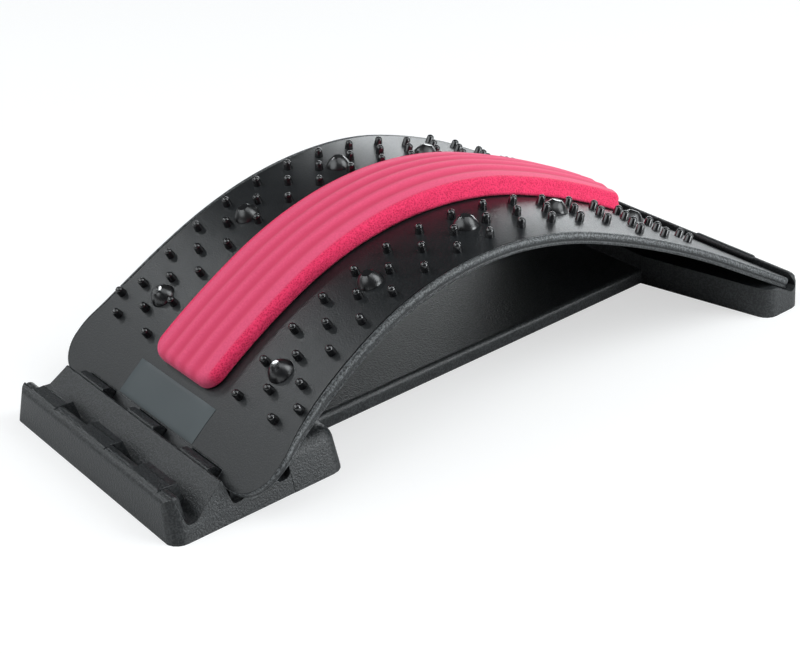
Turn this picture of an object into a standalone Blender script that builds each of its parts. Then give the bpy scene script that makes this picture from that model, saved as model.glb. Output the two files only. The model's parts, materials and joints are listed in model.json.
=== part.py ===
"""Arched back stretcher: a flexible massage arch on a notched base.

The base is one hollow moulding: a grip block with three grooves at the front,
a low beam, and a wide rear block with a channel and two snap beads. The arch
is a thin sheet with a deep rim. Its fingers stand in the middle groove, and
its rounded rear edge lies in the channel, where it turns when the front is
lifted out. A foam pad lies along the middle, between ten domes with magnets.

Metres, +Z up. X is the width, Y runs from the grooves (-Y) to the channel
(+Y). The origin is on the floor, under the centre of the whole object.
"""
import math

import bmesh
import bpy
from mathutils import Matrix, Vector

# Overall
LENGTH = 0.385              # front face of the base to its rear face
WALL = 0.0024               # moulded wall of the base
RIB = 0.0016                # ribs on hidden sides
FIT = 0.0003                # gap between pieces that seat on each other
DRAFT = 0.28                # sideways lean of the end faces, per unit of height

# Grip block: grooves, ridges and teeth
GRIP_DEPTH = 0.099
GRIP_HALF = 0.0793
GRIP_CORNER = 0.008
RIDGE_HEIGHT = 0.0206
LIP_RISE = 0.0008           # the front lip stands this much above the ridges
LIP_INSET = 0.0056          # front foot to the first crest
FRONT_LEAN = 0.11           # run per rise of the front face
LIP_ROUND = 0.0045          # rounding of the front lip
GROOVE_PITCH = 0.0256
GROOVE_COUNT = 3
GROOVE_FLOOR = 0.0080
WALL_LEAN = 0.21            # run per rise of a groove's steep side
RAMP_RUN = 1.29             # run per rise of a groove's long side
RAMP_START = 0.0092         # crest to the foot of the ramp
CREST_FLAT = 0.0010
CREST_ROUND = 0.0007
GROOVE_ROUND = 0.0040
TOOTH_WIDTH = 0.0246
TOOTH_GAP = 0.0248
TOOTH_COUNT = 3
TOOTH_RISE = 0.0006         # tooth above its ridge
FRONT_TOOTH = 0.0096        # reach of the front row of teeth
FRONT_TOOTH_LEAN = 0.3
HUMP_HEIGHT = 0.0218
HUMP_START = 0.0680
HUMP_ROUND = 0.0065

# Beam
BEAM_HALF = 0.0437
BEAM_HEIGHT = 0.0084
BEAM_ROUND = 0.0028
BEAM_BAYS = 7

# Rear block
REAR_DEPTH = 0.0455         # rear face to the front face, where that meets the beam
REAR_SWEEP = 0.232          # how far the front face runs back per unit of width
REAR_HALF = 0.1234
REAR_CORNER = 0.008
REAR_DRAFT = 0.05           # lean of the block's ends and front, per unit of height
REAR_DECK = 0.0172
LIP_HEIGHT = 0.0183
LIP_THICK = 0.0034
LIP_EDGE = 0.0022           # rounding along the top of the lip
LIP_END = 0.011             # the lip's ends curve down
BEAD_RADIUS = 0.0020
BEAD_INSET = 0.0026         # rear face to the middle of the snap beads
BEAD_START = 0.047          # snap beads: from here
BEAD_END = 0.0905           # to here, on both sides
REAR_RIBS = 4

# Arch line: the top surface of the sheet, seen from the side. The arcs set its shape, and
# it is turned and scaled to span from the middle groove to the channel.
SEAT_Y = 0.0393             # top edge of the sheet behind the middle teeth
SEAT_Z = 0.0177
TAIL_INSET = 0.0064         # rear face to the sheet's rear edge
TAIL_Z = 0.0162
FRONT_RADIUS = 0.341
FRONT_ARC = 0.0922
CROWN_RADIUS = 0.1852
CROWN_ARC = 0.145
REAR_RADIUS = 0.438
REAR_ARC = 0.0904
TAIL_RUN = 0.0464           # straight end of the sheet

# Arch sheet
SHEET = 0.0032
RIM_DEPTH = 0.0055
RIM_WIDTH = 0.0030
SHOULDER_HALF = 0.0935
CORNER_ROUND = 0.0195       # front corners
WAIST_HALF = 0.0844
WAIST_AT = 0.120
# Share of the fall from shoulder to waist, at shares of the way between them.
FALL = ((0.08, 0.03), (0.23, 0.40), (0.48, 0.71))
TAIL_HALF = 0.1216
TAIL_CORNER = 0.004
FLARE = (0.07, 0.33, 0.66)  # share of the tail's flare at each quarter of the way
BEAD_SWELL = 0.0002         # the rear edge is rounded a little fuller than the rim
STRINGER_AT = 0.031         # long ribs under the sheet
FINGER_REACH = 0.0060       # fingers and front corners past the seat edge, along the sheet
FINGER_THICK = 0.0031
FINGER_SIDE = 0.0006        # clearance beside a tooth
FOOT_WIDTH = 0.0105         # feet under the front corners

# Massage nubs
NUB_FIRST = 0.0332          # first row, from the seat edge
NUB_PITCH = 0.02103
NUB_RADIUS = 0.0025
NUB_TIP = 0.0019
NUB_HEIGHT = 0.0052
NUB_SIDES = 8
NUB_COLUMN = 0.0424         # innermost column
NUB_STEP = 0.0149           # column to column
NUB_MARGIN = 0.040          # no nub nearer than this to the rear edge

# Domes and magnets
DOME_RADIUS = 0.0060
DOME_HEIGHT = 0.0058
DOME_COLUMN = 0.0538
DOME_EVERY = 3              # rows from dome to dome
DOME_SEAT = 0.0008          # depth of the round seat in the sheet
MAGNET_RADIUS = 0.0038
MAGNET_THICK = 0.0020

# Foam pad
PAD_HALF = 0.0265
PAD_START = 0.0268
PAD_TAIL = 0.0446           # end of the pad to the rear edge of the sheet
PAD_SIDE = 0.0079           # foam thickness at the long edges
PAD_CROWN = 0.0030          # extra thickness in the middle
PAD_CHANNELS = 4
PAD_CHANNEL_DEPTH = 0.0010
PAD_CORNER = 0.0095
PAD_SHOULDER = 0.0030
TAPE_THICK = 0.0005
TAPE_INSET = 0.0040

FRONT = -LENGTH / 2
REAR = LENGTH / 2


# Helpers: objects, prisms and joins

def new_collection(name):
    collection = bpy.data.collections.new(name)
    bpy.context.scene.collection.children.link(collection)
    return collection


def plastic(name, colour, roughness, specular=0.5):
    material = bpy.data.materials.new(name)
    material.use_nodes = True
    shader = material.node_tree.nodes["Principled BSDF"]
    shader.inputs["Base Color"].default_value = (*colour, 1)
    shader.inputs["Roughness"].default_value = roughness
    shader.inputs["Metallic"].default_value = 0.0
    shader.inputs["Specular IOR Level"].default_value = specular
    material.diffuse_color = (*colour, 1)
    return material


def link_mesh(name, mesh, collection):
    thing = bpy.data.objects.new(name, mesh)
    collection.objects.link(thing)
    return thing


def fillet(outline, steps=4):
    """Round the corners of a closed outline of (u, v, radius) points.

    Two roundings on one side share its length by their radii.
    """
    result = []
    count = len(outline)
    for i, (u, v, radius) in enumerate(outline):
        here = Vector((u, v))
        if radius <= 0:
            result.append(here)
            continue
        last, following = outline[i - 1], outline[(i + 1) % count]
        before = Vector(last[:2]) - here
        after = Vector(following[:2]) - here
        half = before.angle(after) / 2
        room = 0.98 * radius
        cut = min(radius / math.tan(half), before.length * room / (radius + last[2]),
                  after.length * room / (radius + following[2]))
        radius = cut * math.tan(half)
        middle = here + (before.normalized() + after.normalized()).normalized() * (radius / math.sin(half))
        start = here + before.normalized() * cut - middle
        end = here + after.normalized() * cut - middle
        turn = start.angle_signed(end)
        for k in range(steps + 1):
            angle = -turn * k / steps
            cosine, sine = math.cos(angle), math.sin(angle)
            result.append(middle + Vector((start.x * cosine - start.y * sine,
                                           start.x * sine + start.y * cosine)))
    return result


def outline_plate(name, points, low, high, collection):
    """A flat outline, made solid between two heights on Z."""
    curve = bpy.data.curves.new(name + "_outline", 'CURVE')
    curve.dimensions = '2D'
    curve.fill_mode = 'BOTH'
    curve.extrude = (high - low) / 2
    spline = curve.splines.new('POLY')
    spline.points.add(len(points) - 1)
    for spot, point in zip(spline.points, points):
        spot.co = (point[0], point[1], 0, 1)
    spline.use_cyclic_u = True
    drawn = bpy.data.objects.new(name + "_outline", curve)
    collection.objects.link(drawn)
    bpy.context.view_layer.update()
    graph = bpy.context.evaluated_depsgraph_get()
    mesh = bpy.data.meshes.new_from_object(drawn.evaluated_get(graph))
    mesh.name = name
    bpy.data.objects.remove(drawn)
    bpy.data.curves.remove(curve)
    work = bmesh.new()
    work.from_mesh(mesh)
    bmesh.ops.remove_doubles(work, verts=work.verts, dist=1e-6)
    bmesh.ops.translate(work, verts=work.verts, vec=(0, 0, (low + high) / 2))
    bmesh.ops.dissolve_limit(work, angle_limit=0.0005, verts=work.verts, edges=work.edges)
    bmesh.ops.recalc_face_normals(work, faces=work.faces)
    work.to_mesh(mesh)
    work.free()
    return link_mesh(name, mesh, collection)


def prism_x(name, profile, x0, x1, collection):
    """A (y, z) profile carried along X."""
    thing = outline_plate(name, profile, x0, x1, collection)
    thing.data.transform(Matrix(((0, 0, 1, 0), (1, 0, 0, 0), (0, 1, 0, 0), (0, 0, 0, 1))))
    return thing


def prism_y(name, profile, y0, y1, collection):
    """An (x, z) profile carried along Y."""
    thing = outline_plate(name, profile, y0, y1, collection)
    thing.data.transform(Matrix(((1, 0, 0, 0), (0, 0, 1, 0), (0, 1, 0, 0), (0, 0, 0, 1))))
    thing.data.flip_normals()
    return thing


def taper(thing, low, high, dx, dy_front, dy_rear, y_front, y_rear):
    """Lean the sides of an upright block inwards towards its top."""
    for vertex in thing.data.vertices:
        rise = (vertex.co.z - low) / (high - low)
        side = 1 if vertex.co.x > 0 else -1
        vertex.co.x -= side * dx * rise
        along = (vertex.co.y - y_front) / (y_rear - y_front)
        vertex.co.y += rise * (dy_front * (1 - along) - dy_rear * along)


def box(name, x, y, z, collection):
    """A box between two corners, each axis given as (low, high)."""
    mesh = bpy.data.meshes.new(name)
    work = bmesh.new()
    bmesh.ops.create_cube(work, size=1)
    size = Matrix.Diagonal((x[1] - x[0], y[1] - y[0], z[1] - z[0], 1))
    place = Matrix.Translation(((x[0] + x[1]) / 2, (y[0] + y[1]) / 2, (z[0] + z[1]) / 2))
    bmesh.ops.transform(work, matrix=place @ size, verts=work.verts)
    work.to_mesh(mesh)
    work.free()
    return link_mesh(name, mesh, collection)


def cylinder(name, radius, start, end, sides, collection):
    """A round bar between two points."""
    start, end = Vector(start), Vector(end)
    mesh = bpy.data.meshes.new(name)
    work = bmesh.new()
    bmesh.ops.create_cone(work, cap_ends=True, segments=sides, radius1=radius, radius2=radius,
                          depth=(end - start).length)
    turn = Vector((0, 0, 1)).rotation_difference(end - start).to_matrix().to_4x4()
    bmesh.ops.transform(work, matrix=Matrix.Translation((start + end) / 2) @ turn, verts=work.verts)
    work.to_mesh(mesh)
    work.free()
    return link_mesh(name, mesh, collection)


def round_edges(thing, chosen, radius, segments=3):
    """Round the edges of a mesh that the test picks."""
    work = bmesh.new()
    work.from_mesh(thing.data)
    edges = [edge for edge in work.edges if chosen(edge.verts[0].co, edge.verts[1].co)]
    circular = 0.5
    bmesh.ops.bevel(work, geom=edges, offset=radius, segments=segments, profile=circular,
                    affect='EDGES', clamp_overlap=True)
    work.to_mesh(thing.data)
    work.free()


def join(target, tool, operation):
    """Apply one Boolean and remove its tool."""
    step = target.modifiers.new(operation.lower(), 'BOOLEAN')
    step.operation = operation
    step.solver = 'EXACT'
    step.object = tool
    bpy.context.view_layer.update()
    graph = bpy.context.evaluated_depsgraph_get()
    mesh = bpy.data.meshes.new_from_object(target.evaluated_get(graph))
    target.modifiers.clear()
    old = target.data
    mesh.name = old.name
    target.data = mesh
    bpy.data.meshes.remove(old)
    bpy.data.objects.remove(tool)


def merge_meshes(name, things, collection):
    """One mesh object from several that don't touch."""
    work = bmesh.new()
    for thing in things:
        work.from_mesh(thing.data)
        bpy.data.objects.remove(thing)
    mesh = bpy.data.meshes.new(name)
    work.to_mesh(mesh)
    work.free()
    return link_mesh(name, mesh, collection)


def clean(thing):
    """Merge the slivers that Booleans leave, and split every face into triangles."""
    work = bmesh.new()
    work.from_mesh(thing.data)
    bmesh.ops.dissolve_degenerate(work, edges=work.edges, dist=2e-6)
    bmesh.ops.triangulate(work, faces=work.faces, ngon_method='BEAUTY')
    work.to_mesh(thing.data)
    work.free()


def shade(thing, material, angle=35):
    thing.data.materials.clear()
    thing.data.materials.append(material)
    thing.data.shade_smooth()
    thing.data.set_sharp_from_angle(angle=math.radians(angle))


# The arch line

def along_arcs(y, z, angle, scale, s):
    """Point and angle at a length s along the three arcs and the straight tail."""
    left = s
    for radius, arc in ((FRONT_RADIUS, FRONT_ARC), (CROWN_RADIUS, CROWN_ARC), (REAR_RADIUS, REAR_ARC)):
        run = min(max(left, 0), arc * scale)
        turned = angle - run / (radius * scale)
        y += radius * scale * (math.sin(angle) - math.sin(turned))
        z += radius * scale * (math.cos(turned) - math.cos(angle))
        angle = turned
        left -= run
    return y + left * math.cos(angle), z + left * math.sin(angle), angle


def span_arch():
    """Angle at the seat, and scale, that carry the arcs from the seat to the rear edge."""
    drawn_y, drawn_z, _ = along_arcs(0, 0, 0, 1, FRONT_ARC + CROWN_ARC + REAR_ARC + TAIL_RUN)
    span_y, span_z = REAR - TAIL_INSET - FRONT - SEAT_Y, TAIL_Z - SEAT_Z
    angle = math.atan2(span_z, span_y) - math.atan2(drawn_z, drawn_y)
    return angle, math.hypot(span_y, span_z) / math.hypot(drawn_y, drawn_z)


SEAT_ANGLE, ARCH_SCALE = span_arch()
ARCH_LENGTH = ARCH_SCALE * (FRONT_ARC + CROWN_ARC + REAR_ARC + TAIL_RUN)
PAD_END = ARCH_LENGTH - PAD_TAIL
NUB_ROWS = 1 + int((ARCH_LENGTH - NUB_MARGIN - NUB_FIRST) / NUB_PITCH)
DOME_COUNT = 1 + (NUB_ROWS - 2) // DOME_EVERY


def arch_frame(s):
    """Point (y, z) and angle of the arch's top surface at a length s from the seat."""
    y, z, angle = FRONT + SEAT_Y, SEAT_Z, SEAT_ANGLE
    if s <= 0:
        return y + s * math.cos(angle), z + s * math.sin(angle), angle
    return along_arcs(y, z, angle, ARCH_SCALE, s)


def on_arch(x, s, n):
    """A point x across, s along and n above the arch's top surface."""
    y, z, angle = arch_frame(s)
    return Vector((x, y - n * math.sin(angle), z + n * math.cos(angle)))


def arch_matrix(x, s, n):
    """Place and tilt of a piece that stands on the arch."""
    return Matrix.Translation(on_arch(x, s, n)) @ Matrix.Rotation(arch_frame(s)[2], 4, 'X')


def bend(thing, spacing):
    """Cut a flat piece into short lengths and lay it along the arch."""
    work = bmesh.new()
    work.from_mesh(thing.data)
    low = min(vertex.co.y for vertex in work.verts)
    high = max(vertex.co.y for vertex in work.verts)
    first = NUB_FIRST - spacing / 2
    first -= spacing * math.floor((first - low) / spacing)
    count = int((high - first) / spacing) + 1
    for k in range(count):
        station = first + k * spacing
        if low + 1e-4 < station < high - 1e-4:
            geometry = work.verts[:] + work.edges[:] + work.faces[:]
            bmesh.ops.bisect_plane(work, geom=geometry, dist=1e-7, plane_co=(0, station, 0), plane_no=(0, 1, 0))
    bmesh.ops.triangulate(work, faces=work.faces, ngon_method='BEAUTY')
    for vertex in work.verts:
        vertex.co = on_arch(*vertex.co)
    work.to_mesh(thing.data)
    work.free()


HINGE = on_arch(0, ARCH_LENGTH, -RIM_DEPTH / 2)


# Base

def crest_y(k):
    return FRONT + LIP_INSET + k * GROOVE_PITCH


def crest_z(k):
    return RIDGE_HEIGHT + (LIP_RISE if k == 0 else 0)


def steep_y(k, z):
    """Steep side of groove k at height z."""
    return crest_y(k) + CREST_FLAT + (crest_z(k) - z) * WALL_LEAN


def ramp_y(k, z):
    """Long side of groove k at height z."""
    return crest_y(k) + RAMP_START + (z - GROOVE_FLOOR) * RAMP_RUN


def grip_profile():
    """Side view of the grip block: lip, grooves and the foot of the hump."""
    points = [(FRONT, 0, 0), (FRONT + FRONT_LEAN * crest_z(0), crest_z(0), LIP_ROUND)]
    for k in range(GROOVE_COUNT):
        points.append((steep_y(k, crest_z(k)), crest_z(k), CREST_ROUND))
        points.append((steep_y(k, GROOVE_FLOOR), GROOVE_FLOOR, GROOVE_ROUND / 2))
        if k < GROOVE_COUNT - 1:
            points.append((ramp_y(k, GROOVE_FLOOR), GROOVE_FLOOR, GROOVE_ROUND))
            points.append((ramp_y(k, crest_z(k + 1) - CREST_ROUND), crest_z(k + 1) - CREST_ROUND, CREST_ROUND))
            points.append((crest_y(k + 1), crest_z(k + 1), CREST_ROUND))
    # The last groove sweeps up into the hump.
    hump, rise = FRONT + HUMP_START, HUMP_HEIGHT - HUMP_ROUND - CREST_FLAT
    points.append((hump - CREST_FLAT, GROOVE_FLOOR, GROOVE_ROUND))
    points.append((hump + CREST_FLAT, rise, 0))
    points.append((hump + HUMP_ROUND, rise, 0))
    points.append((hump + HUMP_ROUND, 0, 0))
    return fillet(points, 4)


def grip_hollow_profile():
    """The same side view, one wall further in and open below."""
    floor = GROOVE_FLOOR - WALL
    ramp_in = WALL * math.hypot(1, RAMP_RUN)
    steep_in = WALL * math.hypot(1, WALL_LEAN)
    points = [(FRONT + WALL, -WALL), (FRONT + WALL + WALL_LEAN * floor, floor)]
    for k in range(GROOVE_COUNT - 1):
        left = ramp_y(k, floor) + ramp_in
        right = steep_y(k + 1, floor) - steep_in
        peak = (right - left) / (RAMP_RUN + WALL_LEAN)
        if peak > RIB:
            blunt = 0.85 * peak
            points.append((left, floor))
            points.append((left + RAMP_RUN * blunt, floor + blunt))
            points.append((right - WALL_LEAN * blunt, floor + blunt))
            points.append((right, floor))
    last = GROOVE_COUNT - 1
    top = HUMP_HEIGHT - WALL - HUMP_ROUND / 2
    points.append((ramp_y(last, floor) + ramp_in, floor))
    points.append((ramp_y(last, top) + ramp_in, top))
    points.append((FRONT + GRIP_DEPTH - 2 * WALL - RIB, top))
    points.append((FRONT + GRIP_DEPTH - 2 * WALL, -WALL))
    return points


def tooth_spans(count=TOOTH_COUNT):
    """The teeth's extents on X."""
    pitch = TOOTH_WIDTH + TOOTH_GAP
    middles = [(i - (count - 1) / 2) * pitch for i in range(count)]
    return [(x - TOOTH_WIDTH / 2, x + TOOTH_WIDTH / 2) for x in middles]


def seat_tooth_reach():
    """Reach of the middle and rear teeth: up to the edge of the seated sheet."""
    face = SEAT_Y - LIP_INSET - GROOVE_PITCH
    rise = RIDGE_HEIGHT - SEAT_Z
    return face - rise * math.tan(SEAT_ANGLE) - FIT / math.cos(SEAT_ANGLE)


def tooth_profile(k):
    """A tooth reaches back over its groove and ends in a leaning face."""
    reach = FRONT_TOOTH if k == 0 else seat_tooth_reach()
    lean = FRONT_TOOTH_LEAN if k == 0 else math.tan(SEAT_ANGLE)
    front, top = crest_y(k), crest_z(k)
    foot = GROOVE_FLOOR - WALL / 2
    high = top + TOOTH_RISE
    start, peak = front, front + CREST_FLAT
    if k == 0:
        start, peak = front - LIP_ROUND * 2 / 3, front - LIP_ROUND / 10
    return fillet([(start, top - LIP_ROUND / 2, 0), (peak, high, LIP_ROUND / 2),
                   (front + 0.6 * reach, high, LIP_ROUND), (front + reach, top, CREST_ROUND / 2),
                   (front + reach + (top - foot) * lean, foot, 0), (start, foot, 0)], 3)


def build_grip(collection):
    grip = prism_x("grip", grip_profile(), -GRIP_HALF - WALL, GRIP_HALF + WALL, collection)
    teeth = []
    for k in range(GROOVE_COUNT):
        for x0, x1 in tooth_spans():
            teeth.append(prism_x("tooth", tooth_profile(k), x0, x1, collection))
    join(grip, merge_meshes("teeth", teeth, collection), 'UNION')

    high = HUMP_HEIGHT + TOOTH_RISE + 0.002
    ahead = 0.0002
    plan = fillet([(-GRIP_HALF, FRONT - ahead, GRIP_CORNER), (GRIP_HALF, FRONT - ahead, GRIP_CORNER),
                   (GRIP_HALF, FRONT + GRIP_DEPTH, 0), (-GRIP_HALF, FRONT + GRIP_DEPTH, 0)], 5)
    limit = outline_plate("grip_limit", plan, -0.001, high, collection)
    taper(limit, 0, high, DRAFT * high, FRONT_LEAN * high, 0, FRONT, FRONT + GRIP_DEPTH)
    join(grip, limit, 'INTERSECT')

    half = GRIP_HALF + FIT / 3
    plan = fillet([(-half, FRONT + HUMP_START, 0), (half, FRONT + HUMP_START, 0),
                   (half, FRONT + GRIP_DEPTH, GRIP_CORNER), (-half, FRONT + GRIP_DEPTH, GRIP_CORNER)], 4)
    hump = outline_plate("hump", plan, 0, HUMP_HEIGHT, collection)
    taper(hump, 0, HUMP_HEIGHT, DRAFT * HUMP_HEIGHT, 0, WALL / 3, FRONT + HUMP_START, FRONT + GRIP_DEPTH)
    round_edges(hump, lambda a, b: a.z > HUMP_HEIGHT - 1e-5 and b.z > HUMP_HEIGHT - 1e-5, HUMP_ROUND, 4)
    join(grip, hump, 'UNION')
    return grip


def grip_hollow(collection):
    """Space under the grip block, between its ribs."""
    hollow = prism_x("grip_hollow", grip_hollow_profile(), -GRIP_HALF, GRIP_HALF, collection)
    high = HUMP_HEIGHT
    low = -2 * WALL
    inside = GRIP_HALF - WALL
    limit = box("grip_hollow_limit", (-inside, inside), (FRONT, FRONT + GRIP_DEPTH), (low, high), collection)
    taper(limit, 0, high, DRAFT * high, 0, 0, FRONT, FRONT + GRIP_DEPTH)
    join(hollow, limit, 'INTERSECT')
    edges = sorted({x for span in tooth_spans() for x in span})
    ribs = [box("rib", (x - RIB / 2, x + RIB / 2), (FRONT - WALL, FRONT + GRIP_DEPTH + WALL),
                (low - WALL, high + WALL), collection) for x in edges]
    join(hollow, merge_meshes("grip_ribs", ribs, collection), 'DIFFERENCE')
    return hollow


def build_beam(collection):
    """Low bar that ties the blocks together."""
    y0 = FRONT + GRIP_DEPTH - 2 * WALL
    y1 = REAR - REAR_DEPTH + 3 * WALL
    beam = box("beam", (-BEAM_HALF, BEAM_HALF), (y0, y1), (0, BEAM_HEIGHT), collection)
    top = BEAM_HEIGHT - 1e-5
    round_edges(beam, lambda a, b: a.z > top and b.z > top and abs(a.x - b.x) < 1e-6, BEAM_ROUND, 3)
    return beam


def beam_hollow(collection):
    """Bays under the beam, two abreast."""
    y0 = FRONT + GRIP_DEPTH + RIB
    y1 = REAR - REAR_DEPTH - RIB
    bay = (y1 - y0) / BEAM_BAYS
    bays = []
    for i in range(BEAM_BAYS):
        span = (y0 + i * bay + RIB / 2, y0 + (i + 1) * bay - RIB / 2)
        for x in ((-BEAM_HALF + WALL, -RIB / 2), (RIB / 2, BEAM_HALF - WALL)):
            bays.append(box("bay", x, span, (-WALL, BEAM_HEIGHT - WALL), collection))
    return merge_meshes("beam_hollow", bays, collection)


def front_face_y(x):
    """The rear block's swept front face at a distance x from the middle."""
    return REAR - REAR_DEPTH + REAR_SWEEP * max(0, abs(x) - BEAM_HALF)


def seat_radius():
    return RIM_DEPTH / 2 + BEAD_SWELL + FIT


def rear_profile(inset=0):
    """Side view of the rear block: deck, round seat of the sheet's edge, lip."""
    rear = REAR - inset
    slope = -arch_frame(ARCH_LENGTH)[2]
    radius = seat_radius() + inset
    # The deck falls to the seat along the sheet's underside.
    contact = Vector((HINGE.y - radius * math.sin(slope), HINGE.z - radius * math.cos(slope)))
    deck = REAR_DECK - inset
    deck_y = contact.x - (deck - contact.y) / math.tan(slope)
    lip_inner = REAR - LIP_THICK
    points = [(REAR - REAR_DEPTH + inset, -inset, 0), (REAR - REAR_DEPTH + inset, deck, 0),
              (deck_y - inset * math.tan(slope / 2), deck, 0.004)]
    start = math.atan2(contact.y - HINGE.z, contact.x - HINGE.y)
    steps = 5
    finish = math.radians(-52)
    for k in range(steps + 1):
        angle = start + math.tau + (finish - start - math.tau) * k / steps if start < -math.pi else (
            start + (finish - start) * k / steps)
        points.append((HINGE.y + radius * math.cos(angle), HINGE.z + radius * math.sin(angle), 0))
    low = HINGE.z + radius * math.sin(finish)
    if inset:
        points.append((rear, low, 0))
        points.append((rear, -inset, 0))
        return [point[:2] for point in points]
    points.append((lip_inner, low + 0.0006, 0.0006))
    points.append((lip_inner, LIP_HEIGHT, LIP_EDGE / 2))
    points.append((rear - LIP_EDGE / 3, LIP_HEIGHT, LIP_EDGE))
    points.append((rear, 0, 0))
    return fillet(points, 4)


def rear_plan(inset=0):
    """Plan of the rear block: swept front corners, straight back."""
    half = REAR_HALF - inset
    front = REAR - REAR_DEPTH + inset
    rear = REAR - inset + (0 if inset else FIT)
    side_y = front_face_y(REAR_HALF) + inset * math.hypot(1, REAR_SWEEP) - inset * REAR_SWEEP
    corner = max(REAR_CORNER - inset, 0.001)
    bend_x = BEAM_HALF - inset * REAR_SWEEP / 2
    return fillet([(-half, side_y, corner), (-bend_x, front, corner), (bend_x, front, corner), (half, side_y, corner),
                   (half, rear, corner), (-half, rear, corner)], 4)


def lip_end_cutter(collection):
    """What lies outside the curve in which each end of the lip comes down."""
    ends = []
    for side in (-1, 1):
        corner = side * (REAR_HALF - REAR_DRAFT * LIP_HEIGHT / 2)
        curve = fillet([(corner, LIP_HEIGHT, LIP_END), (corner - side * 2 * LIP_END, LIP_HEIGHT, 0),
                        (corner, LIP_HEIGHT - 2 * LIP_END, 0)], 7)[:8]
        inner, outer = min(curve, key=lambda point: abs(point.x)), max(curve, key=lambda point: abs(point.x))
        beyond = outer.x + side * LIP_END
        curve.sort(key=lambda point: abs(point.x))
        outline = [*curve, (beyond, outer.y), (beyond, 2 * LIP_HEIGHT), (inner.x, 2 * LIP_HEIGHT)]
        ends.append(prism_y("lip_end", outline, HINGE.y + seat_radius(), REAR + WALL, collection))
    return merge_meshes("lip_ends", ends, collection)


def build_rear(collection):
    rear = prism_x("rear", rear_profile(), -REAR_HALF - WALL, REAR_HALF + WALL, collection)
    high = REAR_DECK + 0.006
    limit = outline_plate("rear_limit", rear_plan(), -0.001, high, collection)
    lean = REAR_DRAFT * high
    taper(limit, 0, high, lean, lean, 0, REAR - REAR_DEPTH, REAR)
    join(rear, limit, 'INTERSECT')
    join(rear, lip_end_cutter(collection), 'DIFFERENCE')
    beads = []
    for side in (-1, 1):
        y, z = REAR - BEAD_INSET, LIP_HEIGHT - BEAD_RADIUS / 2
        bead = cylinder("bead", BEAD_RADIUS, (side * BEAD_START, y, z), (side * BEAD_END, y, z), 12, collection)
        round_edges(bead, lambda a, b: abs(a.x - b.x) < 1e-6 and (a - b).length < BEAD_RADIUS * 1.2,
                    BEAD_RADIUS * 0.6, 2)
        beads.append(bead)
    join(rear, merge_meshes("snap_beads", beads, collection), 'UNION')
    return rear


def rear_hollow(collection):
    """Space under the rear block, between its ribs."""
    inset = WALL + REAR_DRAFT * REAR_DECK / 2
    hollow = prism_x("rear_hollow", rear_profile(inset), -REAR_HALF, REAR_HALF, collection)
    limit = outline_plate("rear_hollow_limit", rear_plan(inset), -2 * WALL, REAR_DECK, collection)
    join(hollow, limit, 'INTERSECT')
    step = REAR_HALF / (REAR_RIBS + 0.5)
    ribs = []
    for i in range(-REAR_RIBS, REAR_RIBS + 1):
        x = i * step
        ribs.append(box("rib", (x - RIB / 2, x + RIB / 2), (REAR - REAR_DEPTH - WALL, REAR + WALL),
                        (-3 * WALL, REAR_DECK + WALL), collection))
    join(hollow, merge_meshes("rear_ribs", ribs, collection), 'DIFFERENCE')
    return hollow


def build_base(parts, tools):
    base = build_grip(tools)
    base.name = "base_frame"
    join(base, build_beam(tools), 'UNION')
    join(base, build_rear(tools), 'UNION')
    join(base, grip_hollow(tools), 'DIFFERENCE')
    join(base, beam_hollow(tools), 'DIFFERENCE')
    join(base, rear_hollow(tools), 'DIFFERENCE')
    clean(base)
    tools.objects.unlink(base)
    parts.objects.link(base)
    return base


# Arch sheet

def smooth_through(points, steps):
    """A smooth line through points, by Catmull-Rom pieces."""
    result = []
    last = len(points) - 1
    for i in range(last):
        p0 = Vector(points[max(i - 1, 0)])
        p1, p2 = Vector(points[i]), Vector(points[i + 1])
        p3 = Vector(points[min(i + 2, last)])
        for k in range(steps):
            t = k / steps
            result.append(0.5 * (2 * p1 + (p2 - p0) * t + (2 * p0 - 5 * p1 + 4 * p2 - p3) * t * t
                                 + (3 * p1 - p0 - 3 * p2 + p3) * t ** 3))
    result.append(Vector(points[last]))
    return result


def side_edge():
    """Right edge of the flat sheet behind its round corner, as (x, s): shoulder, waist and flared tail."""
    start = CORNER_ROUND - FINGER_REACH
    fall, way = SHOULDER_HALF - WAIST_HALF, WAIST_AT - start
    flare, tail = TAIL_HALF - WAIST_HALF, ARCH_LENGTH - WAIST_AT
    return [(SHOULDER_HALF, start), *[(SHOULDER_HALF - down * fall, start + along * way) for along, down in FALL],
            (WAIST_HALF, WAIST_AT),
            *[(WAIST_HALF + share * flare, WAIST_AT + tail * i / 4) for i, share in enumerate(FLARE, start=1)],
            (TAIL_HALF, ARCH_LENGTH)]


def sheet_outline():
    """Closed outline of the flat sheet: notch for the teeth, round corners, waist and flared tail."""
    notch = tooth_spans()[-1][1] + FINGER_SIDE
    right = [(notch, 0, 0), (notch, -FINGER_REACH, FINGER_SIDE), (SHOULDER_HALF, -FINGER_REACH, CORNER_ROUND)]
    right += [(x, s, 0) for x, s in smooth_through(side_edge(), 3)[:-1]]
    right.append((TAIL_HALF, ARCH_LENGTH, TAIL_CORNER))
    return fillet(right + [(-x, s, r) for x, s, r in reversed(right)], 5)


def hollow_outline():
    """The same outline inside the rim, behind the seat edge."""
    end = ARCH_LENGTH - RIM_DEPTH
    right = [(SHOULDER_HALF - RIM_WIDTH, RIM_WIDTH, CORNER_ROUND / 2)]
    right += [(x - RIM_WIDTH, s, 0) for x, s in smooth_through(side_edge(), 3) if s < end - RIM_DEPTH]
    right.append((TAIL_HALF - 2 * RIM_WIDTH, end, RIM_WIDTH))
    return fillet(right + [(-x, s, r) for x, s, r in reversed(right)], 5)


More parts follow.
